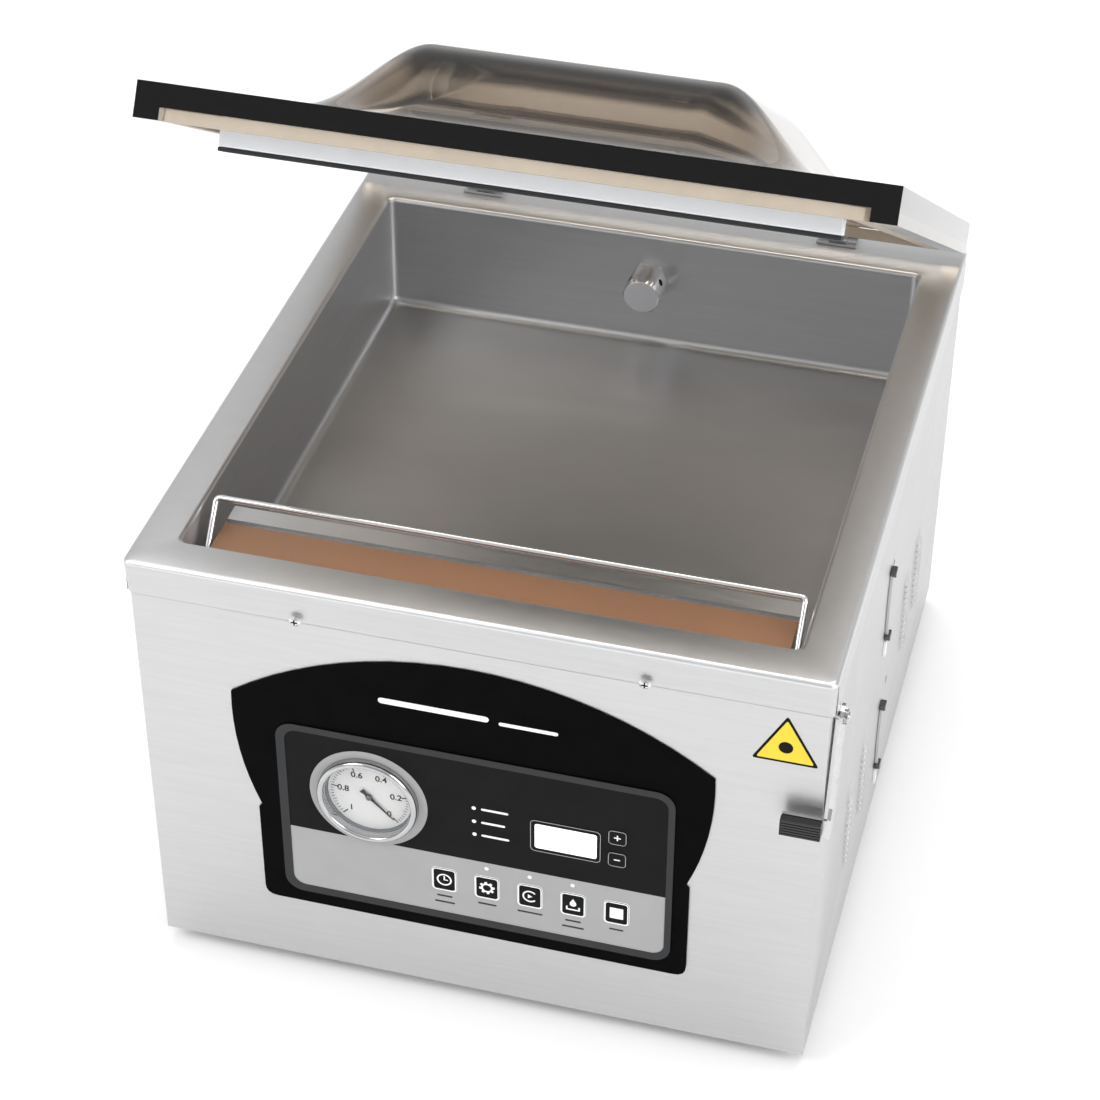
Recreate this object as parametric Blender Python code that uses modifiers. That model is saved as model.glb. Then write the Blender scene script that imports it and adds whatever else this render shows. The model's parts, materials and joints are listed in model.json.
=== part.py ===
"""Tabletop chamber vacuum packing machine, one object for each separate piece.

Metres, +Z up, front towards -Y, right side +X. The origin is on the floor, under the middle
of the machine. Most places are given with at(x, depth, height): x from the middle plane,
depth back from the deck's front face, height up from the deck's flat rim.
"""

import math

import bmesh
import bpy
from mathutils import Matrix, Vector

# Driving dimensions
WIDTH = 0.425
DECK_DEPTH = 0.473
BODY_DEPTH = 0.484
BODY_HEIGHT = 0.3036
FOOT_HEIGHT = 0.012
GRIP_PROUD = 0.009
REAR_PROUD = 0.0035
SIDE_PROUD = 0.012
SKIRT_HEIGHT = 0.026
PANEL_INSET = 0.003
SHEET = 0.0015
GAP = 0.0003

CHAMBER_WIDTH = 0.372
CHAMBER_FRONT = 0.0271
CHAMBER_BACK = 0.4307
CHAMBER_DEPTH = 0.0854

LID_FRONT = 0.0053
LID_BACK = 0.456
LID_SHEET = 0.0135
LID_UNDERSIDE = 0.0078
DOME_HEIGHT = 0.0500
DOME_HALF_BASE = 0.1600
DOME_HALF_TOP = 0.0870
DOME_FRONT = 0.048
DOME_BACK = 0.412
DOME_SLOPE = 0.100
HINGE_DEPTH = 0.465
HINGE_HEIGHT = 0.005
HINGE_SPREAD = 0.125
LID_OPEN = math.radians(33.0)

SEAL_LENGTH = 0.3534
SEAL_TOP = -0.020
SEAL_TRAVEL = 0.0092
CLIP_PIVOT_DEPTH = 0.052
CLIP_PIVOT_HEIGHT = -0.025
CLIP_ROD_DEPTH = 0.0727
CLIP_HALF_WIDTH = 0.180
PISTON_SPREAD = 0.110
PISTON_DEPTH = 0.062

GAUGE_X, GAUGE_HEIGHT = -0.0667, -0.1544
GAUGE_RADIUS = 0.032
KEY_FIRST_X, KEY_PITCH, KEY_HEIGHT = -0.0197, 0.0273, -0.2102
KEY_SIZE = (0.015, 0.018)
SMALL_KEY_SIZE = (0.011, 0.011)
DISPLAY_X, DISPLAY_HEIGHT = 0.057, -0.15825
DISPLAY_SIZE = (0.044, 0.0255)
MEMBRANE_X, MEMBRANE_TOP, MEMBRANE_BOTTOM = -0.0005, -0.1098, -0.2434
MEMBRANE_WIDTH = 0.242
FASCIA_X = -0.0025

LEVER_PIVOT_DEPTH = 0.018
LEVER_PIVOT_HEIGHT = -0.036

FRONT = -(BODY_DEPTH + REAR_PROUD - GRIP_PROUD) / 2
RIM = FOOT_HEIGHT + BODY_HEIGHT
BODY_HALF = WIDTH / 2 - PANEL_INSET
BOTTOM = -BODY_HEIGHT
FLOOR_TOP = BOTTOM + SHEET
SIDE_FRONT = PANEL_INSET + SHEET + GAP
SIDE_BACK = BODY_DEPTH - SHEET - GAP


FACING_FRONT = (math.pi / 2, 0, 0)
FACING_RIGHT = (math.pi / 2, 0, math.pi / 2)
AXIS_FORWARD = (math.pi / 2, 0, 0)
AXIS_RIGHT = (0, math.pi / 2, 0)

KEY_NAMES = ("key_time", "key_preset", "key_marinate", "key_pump", "key_stop")

# Colour, metallic, roughness of each finish
FINISHES = {
    "steel": ((0.66, 0.66, 0.67), 1.0, 0.32),
    "chamber_steel": ((0.60, 0.60, 0.61), 1.0, 0.28),
    "chrome": ((0.82, 0.82, 0.84), 1.0, 0.08),
    "aluminium": ((0.72, 0.73, 0.74), 1.0, 0.35),
    "acrylic": ((0.16, 0.12, 0.10), 0.0, 0.08),
    "silicone": ((0.62, 0.50, 0.38), 0.0, 0.60),
    "black_rubber": ((0.03, 0.03, 0.03), 0.0, 0.75),
    "black_plastic": ((0.02, 0.02, 0.02), 0.0, 0.35),
    "grey_plastic": ((0.62, 0.62, 0.61), 0.0, 0.45),
    "membrane": ((0.11, 0.11, 0.11), 0.0, 0.40),
    "white_plate": ((0.93, 0.93, 0.92), 0.0, 0.40),
    "glass": ((0.90, 0.93, 0.94), 0.0, 0.03),
    "ptfe": ((0.50, 0.32, 0.20), 0.0, 0.45),
    "cast_grey": ((0.32, 0.34, 0.36), 0.6, 0.55),
    "board_green": ((0.03, 0.22, 0.10), 0.0, 0.50),
}


def at(x, depth, height):
    return Vector((x, FRONT + depth, RIM + height))


def new_collection(name):
    collection = bpy.data.collections.new(name)
    bpy.context.scene.collection.children.link(collection)
    return collection


def clear_scene():
    for old in list(bpy.data.objects):
        bpy.data.objects.remove(old)
    for old in list(bpy.data.collections):
        bpy.data.collections.remove(old)


clear_scene()
PARTS = new_collection("vacuum_packing_machine")
CUTTERS = new_collection("cutters")


def material(finish):
    found = bpy.data.materials.get(finish)
    if found:
        return found
    colour, metallic, roughness = FINISHES[finish]
    made = bpy.data.materials.new(finish)
    made.use_nodes = True
    shader = made.node_tree.nodes["Principled BSDF"]
    shader.inputs["Base Color"].default_value = (*colour, 1)
    shader.inputs["Metallic"].default_value = metallic
    shader.inputs["Roughness"].default_value = roughness
    made.diffuse_color = (*colour, 1)
    return made


def keep(obj, finish):
    """Makes obj a finished piece of the machine."""
    obj.data.materials.clear()
    obj.data.materials.append(material(finish))
    for collection in list(obj.users_collection):
        collection.objects.unlink(obj)
    PARTS.objects.link(obj)
    return obj


def as_tool(obj):
    """Makes obj a Boolean operand that isn't part of the machine."""
    for collection in list(obj.users_collection):
        collection.objects.unlink(obj)
    CUTTERS.objects.link(obj)
    obj.hide_render = True
    obj.display_type = "WIRE"
    return obj


def add_mesh(name, mesh, location=(0, 0, 0), rotation=(0, 0, 0)):
    obj = bpy.data.objects.new(name, mesh)
    obj.location = location
    obj.rotation_euler = rotation
    PARTS.objects.link(obj)
    return obj


def box(name, xs, depths, heights):
    """A block between pairs of x, depth and height."""
    low, high = at(xs[0], depths[0], heights[0]), at(xs[1], depths[1], heights[1])
    bpy.ops.mesh.primitive_cube_add(size=1, location=(low + high) / 2)
    obj = bpy.context.active_object
    obj.name = name
    obj.data.transform(Matrix.Diagonal((*(high - low), 1)))
    return obj


def round_edges(obj, axis, width, segments=3, test=None):
    """Rounds the edges that run along one axis and pass a test on their middle point."""
    mesh = obj.data
    weights = mesh.attributes.get("bevel_weight_edge")
    if weights is None:
        weights = mesh.attributes.new("bevel_weight_edge", "FLOAT", "EDGE")
    for edge in mesh.edges:
        a, b = (mesh.vertices[i].co for i in edge.vertices)
        along = (b - a).normalized()
        if abs(along[axis]) > 0.99 and (test is None or test((a + b) / 2)):
            weights.data[edge.index].value = 1.0
    bevel = obj.modifiers.new("rounded edges", "BEVEL")
    bevel.limit_method = "WEIGHT"
    bevel.width = width
    bevel.segments = segments
    return obj


def soften(obj, width, segments=2):
    bevel = obj.modifiers.new("soft edges", "BEVEL")
    bevel.width = width
    bevel.segments = segments
    bevel.limit_method = "ANGLE"
    return obj


def boolean(obj, tool, operation):
    step = obj.modifiers.new(operation.lower(), "BOOLEAN")
    step.operation = operation
    step.object = as_tool(tool)
    return obj


def cut(obj, *tools):
    for tool in tools:
        boolean(obj, tool, "DIFFERENCE")
    return obj


def fuse(obj, *tools):
    for tool in tools:
        boolean(obj, tool, "UNION")
    return obj


def to_mesh(curve_object):
    """Replaces a curve object by its welded mesh."""
    name = curve_object.name
    bpy.context.view_layer.update()
    graph = bpy.context.evaluated_depsgraph_get()
    mesh = bpy.data.meshes.new_from_object(curve_object.evaluated_get(graph))
    welded = bmesh.new()
    welded.from_mesh(mesh)
    bmesh.ops.remove_doubles(welded, verts=welded.verts, dist=0.000005)
    bmesh.ops.recalc_face_normals(welded, faces=welded.faces)
    welded.to_mesh(mesh)
    welded.free()
    matrix = curve_object.matrix_world.copy()
    bpy.data.objects.remove(curve_object)
    obj = add_mesh(name, mesh)
    obj.matrix_world = matrix
    return obj


def plate(name, loops, thickness, centre, rotation):
    """A flat outline, with any holes as further loops, made as thick as it is."""
    curve = bpy.data.curves.new(name, "CURVE")
    curve.dimensions = "2D"
    curve.fill_mode = "BOTH"
    curve.extrude = thickness / 2
    for loop in loops:
        spline = curve.splines.new("POLY")
        spline.points.add(len(loop) - 1)
        for point, (u, v) in zip(spline.points, loop):
            point.co = (u, v, 0, 1)
        spline.use_cyclic_u = True
    obj = bpy.data.objects.new(name, curve)
    obj.location = centre
    obj.rotation_euler = rotation
    PARTS.objects.link(obj)
    return to_mesh(obj)


def front_plate(name, loops, thickness, back_depth):
    """A plate in the plane of the front panel; loops are in x and height."""
    centre = at(0, back_depth - thickness / 2, 0)
    return plate(name, loops, thickness, centre, FACING_FRONT)


def bar(name, loops, length, x=0.0):
    """A section in depth and height, run along x for a length about x."""
    return plate(name, loops, length, at(x, 0, 0), FACING_RIGHT)


def turned(name, profile, location, rotation=(0, 0, 0), steps=24):
    """A profile of (radius, height), outer side first from top to bottom, turned about Z."""
    closed = profile[0][0] > 0 and profile[-1][0] > 0
    mesh = bpy.data.meshes.new(name)
    count = len(profile)
    edges = [(i, i + 1) for i in range(count - 1)]
    if closed:
        edges.append((count - 1, 0))
    mesh.from_pydata([(r, 0, h) for r, h in profile], edges, [])
    obj = add_mesh(name, mesh, location, rotation)
    screw = obj.modifiers.new("turned", "SCREW")
    screw.steps = steps
    screw.render_steps = steps
    screw.use_merge_vertices = True
    screw.merge_threshold = 0.00001
    screw.use_smooth_shade = True
    return obj


def disc(name, radius, length, location, rotation=(0, 0, 0), steps=24):
    """A plain cylinder that starts at location and runs along its own +Z."""
    profile = [(0, length), (radius, length), (radius, 0), (0, 0)]
    return turned(name, profile, location, rotation, steps)


def tube(name, points, radius):
    curve = bpy.data.curves.new(name, "CURVE")
    curve.dimensions = "3D"
    curve.bevel_depth = radius
    curve.bevel_resolution = 2
    curve.use_fill_caps = True
    spline = curve.splines.new("POLY")
    spline.points.add(len(points) - 1)
    for point, place in zip(spline.points, points):
        point.co = (*place, 1)
    obj = bpy.data.objects.new(name, curve)
    PARTS.objects.link(obj)
    return to_mesh(obj)


def rounded_path(points, radius, steps=3, cyclic=False):
    """Points with each corner replaced by a short curve that starts radius before it."""
    points = [Vector(p) for p in points]
    count = len(points)
    path = []
    for i, corner in enumerate(points):
        if not cyclic and i in (0, count - 1):
            path.append(tuple(corner))
            continue
        before = (points[i - 1] - corner)
        after = (points[(i + 1) % count] - corner)
        start = corner + before.normalized() * min(radius, before.length / 2)
        end = corner + after.normalized() * min(radius, after.length / 2)
        for step in range(steps + 1):
            t = step / steps
            path.append(tuple(start * (1 - t) ** 2 + corner * 2 * t * (1 - t) + end * t ** 2))
    return path


def rectangle(x, height, width, tall, radius=0.0, steps=3):
    """A rectangle's corners in x and height, anticlockwise, with rounded corners."""
    corners = [(x - width / 2, height - tall / 2), (x + width / 2, height - tall / 2),
               (x + width / 2, height + tall / 2), (x - width / 2, height + tall / 2)]
    return rounded_path(corners, radius, steps, cyclic=True) if radius else corners


def circle(x, height, radius, steps=32):
    turns = [2 * math.pi * i / steps for i in range(steps)]
    return [(x + radius * math.cos(t), height + radius * math.sin(t)) for t in turns]


def smooth(t):
    t = min(max(t, 0.0), 1.0)
    return t * t * (3 - 2 * t)


# Deck, chamber and housing

def deck():
    """The formed top: a flat rim with a turned-down skirt, open over the chamber."""
    obj = box("top_deck", (-WIDTH / 2, WIDTH / 2), (0, DECK_DEPTH), (-SKIRT_HEIGHT, 0))
    round_edges(obj, 2, 0.004)
    inside = box("deck_hollow", (-WIDTH / 2 + SHEET, WIDTH / 2 - SHEET),
                 (SHEET, DECK_DEPTH - SHEET), (-0.05, -SHEET))
    round_edges(inside, 2, 0.0025)
    wall = SHEET + GAP
    opening = box("deck_opening", (-CHAMBER_WIDTH / 2 - wall, CHAMBER_WIDTH / 2 + wall),
                  (CHAMBER_FRONT - wall, CHAMBER_BACK + wall), (-0.03, 0.01))
    round_edges(opening, 2, 0.0055)
    keep(cut(obj, inside, opening), "steel")


def chamber():
    """The welded tub that holds the vacuum, with its passages for the port and pistons."""
    half = CHAMBER_WIDTH / 2
    obj = box("chamber_tub", (-half - SHEET, half + SHEET),
              (CHAMBER_FRONT - SHEET, CHAMBER_BACK + SHEET), (-CHAMBER_DEPTH - SHEET, 0))
    round_edges(obj, 2, 0.005)
    inside = box("tub_hollow", (-half, half), (CHAMBER_FRONT, CHAMBER_BACK),
                 (-CHAMBER_DEPTH, 0.02))
    round_edges(inside, 2, 0.0035)
    port = disc("port_passage", 0.0073, 0.02, at(0.0005, CHAMBER_BACK + 0.01, -0.036),
                AXIS_FORWARD)
    pistons = [disc("piston_passage", 0.0044, 0.02,
                    at(side * PISTON_SPREAD, PISTON_DEPTH, -CHAMBER_DEPTH - 0.01))
               for side in (-1, 1)]
    keep(cut(obj, inside, port, *pistons), "chamber_steel")


def keypad_hole():
    """The window in the front panel behind the display and keys."""
    return rectangle(0.041, -0.181, 0.138, 0.084, 0.004)


def front_panel():
    outline = rectangle(0, (BOTTOM - 0.0025) / 2, 2 * BODY_HALF, BODY_HEIGHT - 0.0025)
    gauge = circle(GAUGE_X, GAUGE_HEIGHT, 0.0288)
    obj = front_plate("front_panel", [outline, gauge, keypad_hole()], SHEET,
                      PANEL_INSET + SHEET)
    keep(obj, "steel")


def louvre(side, depth, height):
    """A pressed louvre: a long bump on the side panel, and the slot along its front edge."""
    mesh = bpy.data.meshes.new("louvre")
    shape = bmesh.new()
    bmesh.ops.create_uvsphere(shape, u_segments=12, v_segments=8, radius=1)
    bmesh.ops.scale(shape, vec=(0.0045, 0.009, 0.036), verts=shape.verts)
    shape.to_mesh(mesh)
    shape.free()
    bump = add_mesh("louvre_bump", mesh, at(side * (BODY_HALF - 0.0004), depth, height))
    slot = box("louvre_slot", sorted((side * (BODY_HALF - 0.01), side * (BODY_HALF + 0.01))),
               (depth - 0.0128, depth - 0.0104), (height - 0.03, height + 0.03))
    return bump, slot


LOUVRES = ((0.122, -0.215), (0.172, -0.215), (0.325, -0.200), (0.372, -0.200))


def side_panel(side, name):
    """A side of the housing; its top rear corner steps down under the deck's rear skirt."""
    top, ledge = -0.0025, -SKIRT_HEIGHT - 0.0005
    step = DECK_DEPTH - SHEET - GAP
    outline = [(SIDE_FRONT, BOTTOM), (SIDE_BACK, BOTTOM), (SIDE_BACK, ledge - SHEET - GAP),
               (step, ledge - SHEET - GAP), (step, top), (SIDE_FRONT, top)]
    obj = bar(name, [outline], SHEET, side * (BODY_HALF - SHEET / 2))
    for depth, height in LOUVRES:
        bump, slot = louvre(side, depth, height)
        fuse(obj, bump)
        cut(obj, slot)
    if side > 0:
        cut(obj, disc("lever_hole", 0.0027, 0.02,
                      at(BODY_HALF - 0.01, LEVER_PIVOT_DEPTH, LEVER_PIVOT_HEIGHT), AXIS_RIGHT))
    keep(obj, "steel")


def rear_panel():
    """The back cover, bent forward at the top to close in under the deck's skirt."""
    ledge = -SKIRT_HEIGHT - 0.0005
    start = DECK_DEPTH - SHEET
    outline = [(BODY_DEPTH - SHEET, BOTTOM), (BODY_DEPTH, BOTTOM), (BODY_DEPTH, ledge),
               (start, ledge), (start, ledge - SHEET), (BODY_DEPTH - SHEET, ledge - SHEET)]
    obj = bar("rear_panel", [outline], 2 * BODY_HALF)
    inlet = box("inlet_hole", (-0.1605, -0.1305), (0.45, 0.5), (-0.2705, -0.2465))
    rocker = box("rocker_hole", (-0.1125, -0.0935), (0.45, 0.5), (-0.271, -0.246))
    keep(cut(obj, inlet, rocker), "steel")


def base_plate():
    obj = box("base_plate", (-BODY_HALF + SHEET + GAP, BODY_HALF - SHEET - GAP),
              (SIDE_FRONT, SIDE_BACK), (BOTTOM, FLOOR_TOP))
    keep(obj, "steel")


def foot(name, x, depth):
    profile = [(0, FOOT_HEIGHT - GAP), (0.013, FOOT_HEIGHT - GAP), (0.015, 0.0015),
               (0.0138, 0), (0, 0)]
    place = at(x, depth, 0)
    place.z = 0
    keep(turned(name, profile, place, steps=20), "black_rubber")


def feet():
    for row, depth in (("front", 0.045), ("rear", 0.440)):
        for side, x in (("left", -0.170), ("right", 0.170)):
            foot(f"foot_{row}_{side}", x, depth)


# Control panel

def fascia_outline():
    """Half a shield: a wide arc on top, sides that sweep in, then a straight lower part."""
    tip_x, tip_height, top_height = 0.1484, -0.088, -0.039
    rise = top_height - tip_height
    radius = (tip_x ** 2 + rise ** 2) / (2 * rise)
    sweep = math.asin(tip_x / radius)
    arc = [(radius * math.sin(sweep * k / 10),
            top_height - radius * (1 - math.cos(sweep * k / 10))) for k in range(11)]
    start, pull, notch = Vector(arc[-1]), Vector((0.1508, -0.135)), Vector((0.1340, -0.1763))
    side = [tuple(start * (1 - t) ** 2 + pull * 2 * t * (1 - t) + notch * t ** 2)
            for t in (k / 8 for k in range(1, 9))]
    corner = rounded_path([(0.1361, -0.179), (0.1361, -0.2538), (0, -0.2538)], 0.008, 4)
    right = arc + side + corner[:-1]
    left = [(-x, height) for x, height in reversed(right[1:])]
    return [(FASCIA_X + x, height) for x, height in right + left]


def membrane_outline(margin=0.0):
    middle = (MEMBRANE_TOP + MEMBRANE_BOTTOM) / 2
    tall = MEMBRANE_TOP - MEMBRANE_BOTTOM + 2 * margin
    return rectangle(MEMBRANE_X, middle, MEMBRANE_WIDTH + 2 * margin, tall, 0.014, 5)


def key_places():
    places = [(name, KEY_FIRST_X + KEY_PITCH * i, KEY_HEIGHT, KEY_SIZE)
              for i, name in enumerate(KEY_NAMES)]
    places.append(("key_plus", 0.089, -0.1476, SMALL_KEY_SIZE))
    places.append(("key_minus", 0.089, -0.1655, SMALL_KEY_SIZE))
    return places


def control_panel():
    back = PANEL_INSET - GAP
    fascia = front_plate("fascia_plate", [fascia_outline(), membrane_outline(GAP)], 0.0008,
                         back)
    keep(fascia, "black_plastic")
    holes = [circle(GAUGE_X, GAUGE_HEIGHT, GAUGE_RADIUS + GAP, 40),
             rectangle(DISPLAY_X, DISPLAY_HEIGHT, DISPLAY_SIZE[0] + 2 * GAP,
                       DISPLAY_SIZE[1] + 2 * GAP, 0.0035)]
    for _, x, height, (width, tall) in key_places():
        holes.append(rectangle(x, height, width + 2 * GAP, tall + 2 * GAP, 0.0028))
    membrane = front_plate("keypad_membrane", [membrane_outline()] + holes, 0.0012, back)
    keep(membrane, "membrane")
    window = front_plate("display_window", [rectangle(DISPLAY_X, DISPLAY_HEIGHT,
                                                      *DISPLAY_SIZE, 0.0032)], 0.0016, back)
    keep(window, "glass")
    for name, x, height, (width, tall) in key_places():
        key = front_plate(name, [rectangle(x, height, width, tall, 0.0025)], 0.0020,
                          back + 0.0003)
        keep(key, "black_plastic")


def circuit_board():
    """The control board behind the keys, on four short pillars."""
    front, thickness = 0.011, 0.0016
    obj = box("circuit_board", (-0.026, 0.108), (front, front + thickness),
              (-0.218, -0.138))
    pillars = [disc("pillar", 0.003, front - PANEL_INSET - SHEET - GAP + 0.0005,
                    at(x, front + 0.0005, height), AXIS_FORWARD, 10)
               for x in (-0.0315, 0.1135) for height in (-0.1335, -0.2275)]
    ears = box("board_ears", (-0.036, 0.118), (front + 0.0002, front + thickness - 0.0002),
               (-0.231, -0.130))
    chips = [box("chip", (x, x + 0.022), (front + 0.001, front + 0.010), (-0.17, -0.15))
             for x in (0.0, 0.04)]
    keep(fuse(obj, ears, *pillars, *chips), "board_green")


def gauge():
    """Dial gauge: a case through the panel, dial plate, needle, glass and chrome bezel."""
    def centre(depth):
        return at(GAUGE_X, depth, GAUGE_HEIGHT)
    rim_depth = 0.0022
    case = [(0.0284, 0), (0.0284, -0.030), (0.005, -0.030), (0.005, -0.044), (0, -0.044),
            (0, -0.003), (0.0272, -0.003), (0.0272, 0)]
    keep(turned("gauge_case", case, centre(rim_depth), AXIS_FORWARD, 28), "cast_grey")
    dial = [(0.0268, 0.001), (0.0268, 0), (0.0014, 0), (0.0014, 0.001)]
    keep(turned("gauge_dial", dial, centre(rim_depth + 0.0026), AXIS_FORWARD, 28),
         "white_plate")
    bezel = [(0.0300, 0.0068), (GAUGE_RADIUS, 0.0050), (GAUGE_RADIUS, GAP), (0.0292, GAP),
             (0.0292, 0.0052), (0.0282, 0.0058), (0.0282, 0.0068)]
    keep(turned("gauge_bezel", bezel, centre(PANEL_INSET - GAP), AXIS_FORWARD, 36), "chrome")
    glass = disc("gauge_glass", 0.0286, 0.0012, centre(-0.0008), AXIS_FORWARD, 32)
    keep(glass, "glass")
    needle()


def rotated(points, degrees):
    c, s = math.cos(math.radians(degrees)), math.sin(math.radians(degrees))
    return [(u * c - v * s, u * s + v * c) for u, v in points]


def needle():
    """A tapered pointer with a tail, its arbor in the dial's middle; it rests on zero."""
    outline = [(-0.0065, -0.0016), (-0.0030, -0.0010), (0.0, -0.0022), (0.0030, -0.0008),
               (0.0215, -0.0002), (0.0215, 0.0002), (0.0030, 0.0008), (0.0, 0.0022),
               (-0.0030, 0.0010), (-0.0065, 0.0016)]
    centre = at(GAUGE_X, 0.0026, GAUGE_HEIGHT)
    obj = plate("gauge_needle", [rotated(outline, -45)], 0.0005, centre, FACING_FRONT)
    arbor = disc("arbor", 0.0009, 0.0028, at(GAUGE_X, 0.0046, GAUGE_HEIGHT), AXIS_FORWARD, 12)
    keep(fuse(obj, arbor), "black_plastic")


def front_screws():
    """Cross-head screws that hold the front of the deck to the housing."""
    profile = [(0, 0.0016), (0.0020, 0.0014), (0.0036, 0.0003), (0.0036, GAP), (0, GAP)]
    for name, x in (("deck_screw_left", -0.1062), ("deck_screw_right", 0.1031)):
        screw = turned(name, profile, at(x, 0, -0.0229), AXIS_FORWARD, 16)
        slots = [box("screw_slot", (x - a, x + a), (-0.003, -0.0009),
                     (-0.0229 - b, -0.0229 + b)) for a, b in ((0.0020, 0.0004), (0.0004, 0.0020))]
        keep(cut(screw, *slots), "chrome")


# Sealing bar, its lift and the bag clip

def seal_bar():
    front, back = 0.048, 0.0756
    outline = [(front, -0.046), (back, -0.046), (back, -0.029), (0.092, -0.029),
               (0.092, SEAL_TOP), (0.0785, SEAL_TOP), (0.0785, -0.025), (back, -0.025),
               (back, SEAL_TOP - 0.0013), (front, SEAL_TOP - 0.0013)]
    obj = bar("seal_bar", [outline], SEAL_LENGTH)
    for side in (-1, 1):
        hole = disc("clip_hole", 0.0023, 0.024, at(side * SEAL_LENGTH / 2 - 0.012,
                                                   CLIP_PIVOT_DEPTH, CLIP_PIVOT_HEIGHT),
                    AXIS_RIGHT, 16)
        cut(obj, hole)
    keep(obj, "aluminium")
    cover = [(front - 0.0013, -0.040), (front - GAP, -0.040), (front - GAP, SEAL_TOP - 0.001),
             (back + 0.0006, SEAL_TOP - 0.001), (back + 0.0006, SEAL_TOP),
             (front - 0.0013, SEAL_TOP)]
    keep(bar("seal_cover", [cover], SEAL_LENGTH), "ptfe")


def seal_lift():
    """Two air pistons under the bar, and the cylinders that hang below the chamber."""
    for name, side in (("left", -1), ("right", 1)):
        x = side * PISTON_SPREAD
        piston = disc(f"lift_piston_{name}", 0.004, 0.072, at(x, PISTON_DEPTH, -0.1183), steps=16)
        keep(piston, "chrome")
        top = -CHAMBER_DEPTH - SHEET - GAP
        cylinder = [(0.018, 0), (0.018, -0.055), (0.006, -0.055), (0.006, -0.063), (0, -0.063),
                    (0, -0.045), (0.0044, -0.045), (0.0044, 0)]
        keep(turned(f"lift_cylinder_{name}", cylinder, at(x, PISTON_DEPTH, top), steps=20),
             "aluminium")


def bag_clip():
    """A sprung wire bail that holds the bag's neck on the strip behind the seal."""
    pivot = (CLIP_PIVOT_DEPTH, CLIP_PIVOT_HEIGHT)
    inner = SEAL_LENGTH / 2 - 0.010
    corners = [(-inner, *pivot), (-CLIP_HALF_WIDTH, *pivot),
               (-CLIP_HALF_WIDTH, CLIP_ROD_DEPTH, 0.0), (CLIP_HALF_WIDTH, CLIP_ROD_DEPTH, 0.0),
               (CLIP_HALF_WIDTH, *pivot), (inner, *pivot)]
    path = rounded_path(corners, 0.0033, 3)
    origin = at(0, *pivot)
    obj = tube("bag_clip", [at(*place) - origin for place in path], 0.0019)
    obj.location = origin
    keep(obj, "chrome")


def suction_port():
    """The hexagonal fitting in the chamber's back wall, with its shank through the wall."""
    x, height = 0.0005, -0.036
    face = CHAMBER_BACK - GAP
    port = disc("suction_port", 0.0142, 0.022, at(x, face, height), AXIS_FORWARD, 6)
    shank = disc("port_shank", 0.007, 0.030, at(x, face + 0.022, height), AXIS_FORWARD, 16)
    bore = disc("port_bore", 0.0045, 0.036, at(x, face + 0.03, height), AXIS_FORWARD, 12)
    cross = disc("port_cross", 0.0022, 0.040, at(x - 0.02, face - 0.011, height), AXIS_RIGHT, 10)
    keep(cut(fuse(port, shank), bore, cross), "chrome")


# Lid and hinges

def lid_heights(x, depth):
    """Height of the dome's outer surface above the flange."""
    across = (DOME_HALF_BASE - abs(x)) / (DOME_HALF_BASE - DOME_HALF_TOP)
    along = min(depth - DOME_FRONT, DOME_BACK - depth) / DOME_SLOPE
    return DOME_HEIGHT * smooth(across) * smooth(along)


def lid_lines(low, high, rise, fall, slope_steps=7):
    """Grid lines across the lid: the edges, the two slopes and the flat between them."""
    lines = [low, rise[0]]
    lines += [rise[0] + (rise[1] - rise[0]) * k / slope_steps for k in range(1, slope_steps + 1)]
    lines += [(rise[1] + fall[0]) / 2]
    lines += [fall[0] + (fall[1] - fall[0]) * k / slope_steps for k in range(slope_steps + 1)]
    return lines + [high]


def lid_shell():
    """One formed acrylic sheet, flange and dome, with a lip down each side."""
    xs = lid_lines(-WIDTH / 2, WIDTH / 2, (-DOME_HALF_BASE, -DOME_HALF_TOP),
                   (DOME_HALF_TOP, DOME_HALF_BASE))
    depths = lid_lines(LID_FRONT, LID_BACK, (DOME_FRONT, DOME_FRONT + DOME_SLOPE),
                       (DOME_BACK - DOME_SLOPE, DOME_BACK))
    surface = bmesh.new()
    bmesh.ops.create_grid(surface, x_segments=len(xs) - 1, y_segments=len(depths) - 1, size=1)
    top = LID_UNDERSIDE + LID_SHEET
    for vert in surface.verts:
        column = round((vert.co.x + 1) / 2 * (len(xs) - 1))
        row = round((vert.co.y + 1) / 2 * (len(depths) - 1))
        x, depth = xs[column], depths[row]
        vert.co = at(x, depth, top + lid_heights(x, depth))
    mesh = bpy.data.meshes.new("lid_shell")
    surface.to_mesh(mesh)
    surface.free()
    mesh.shade_smooth()
    obj = add_mesh("lid_shell", mesh)
    solid = obj.modifiers.new("sheet", "SOLIDIFY")
    solid.thickness = LID_SHEET
    solid.offset = -1
    for side in (-1, 1):
        xs = sorted((side * (WIDTH / 2 - 0.015), side * WIDTH / 2))
        fuse(obj, box("lid_lip", xs, (LID_FRONT, LID_BACK), (0.0005, LID_UNDERSIDE + 0.002)))
    return [keep(obj, "acrylic")]


def lid_gasket():
    """The silicone frame that seals on the rim, between the lid's lips."""
    low, high = LID_FRONT + 0.0015, 0.4465
    middle, length = (low + high) / 2, high - low
    outer = rectangle(0, middle, 0.394, length, 0.006)
    inner = rectangle(0, middle, 0.374, length - 0.020, 0.004)
    height = LID_UNDERSIDE - GAP - 0.0005
    obj = plate("lid_gasket", [outer, inner], height, at(0, 0, 0.0005 + height / 2), (0, 0, 0))
    return [keep(obj, "silicone")]


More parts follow.
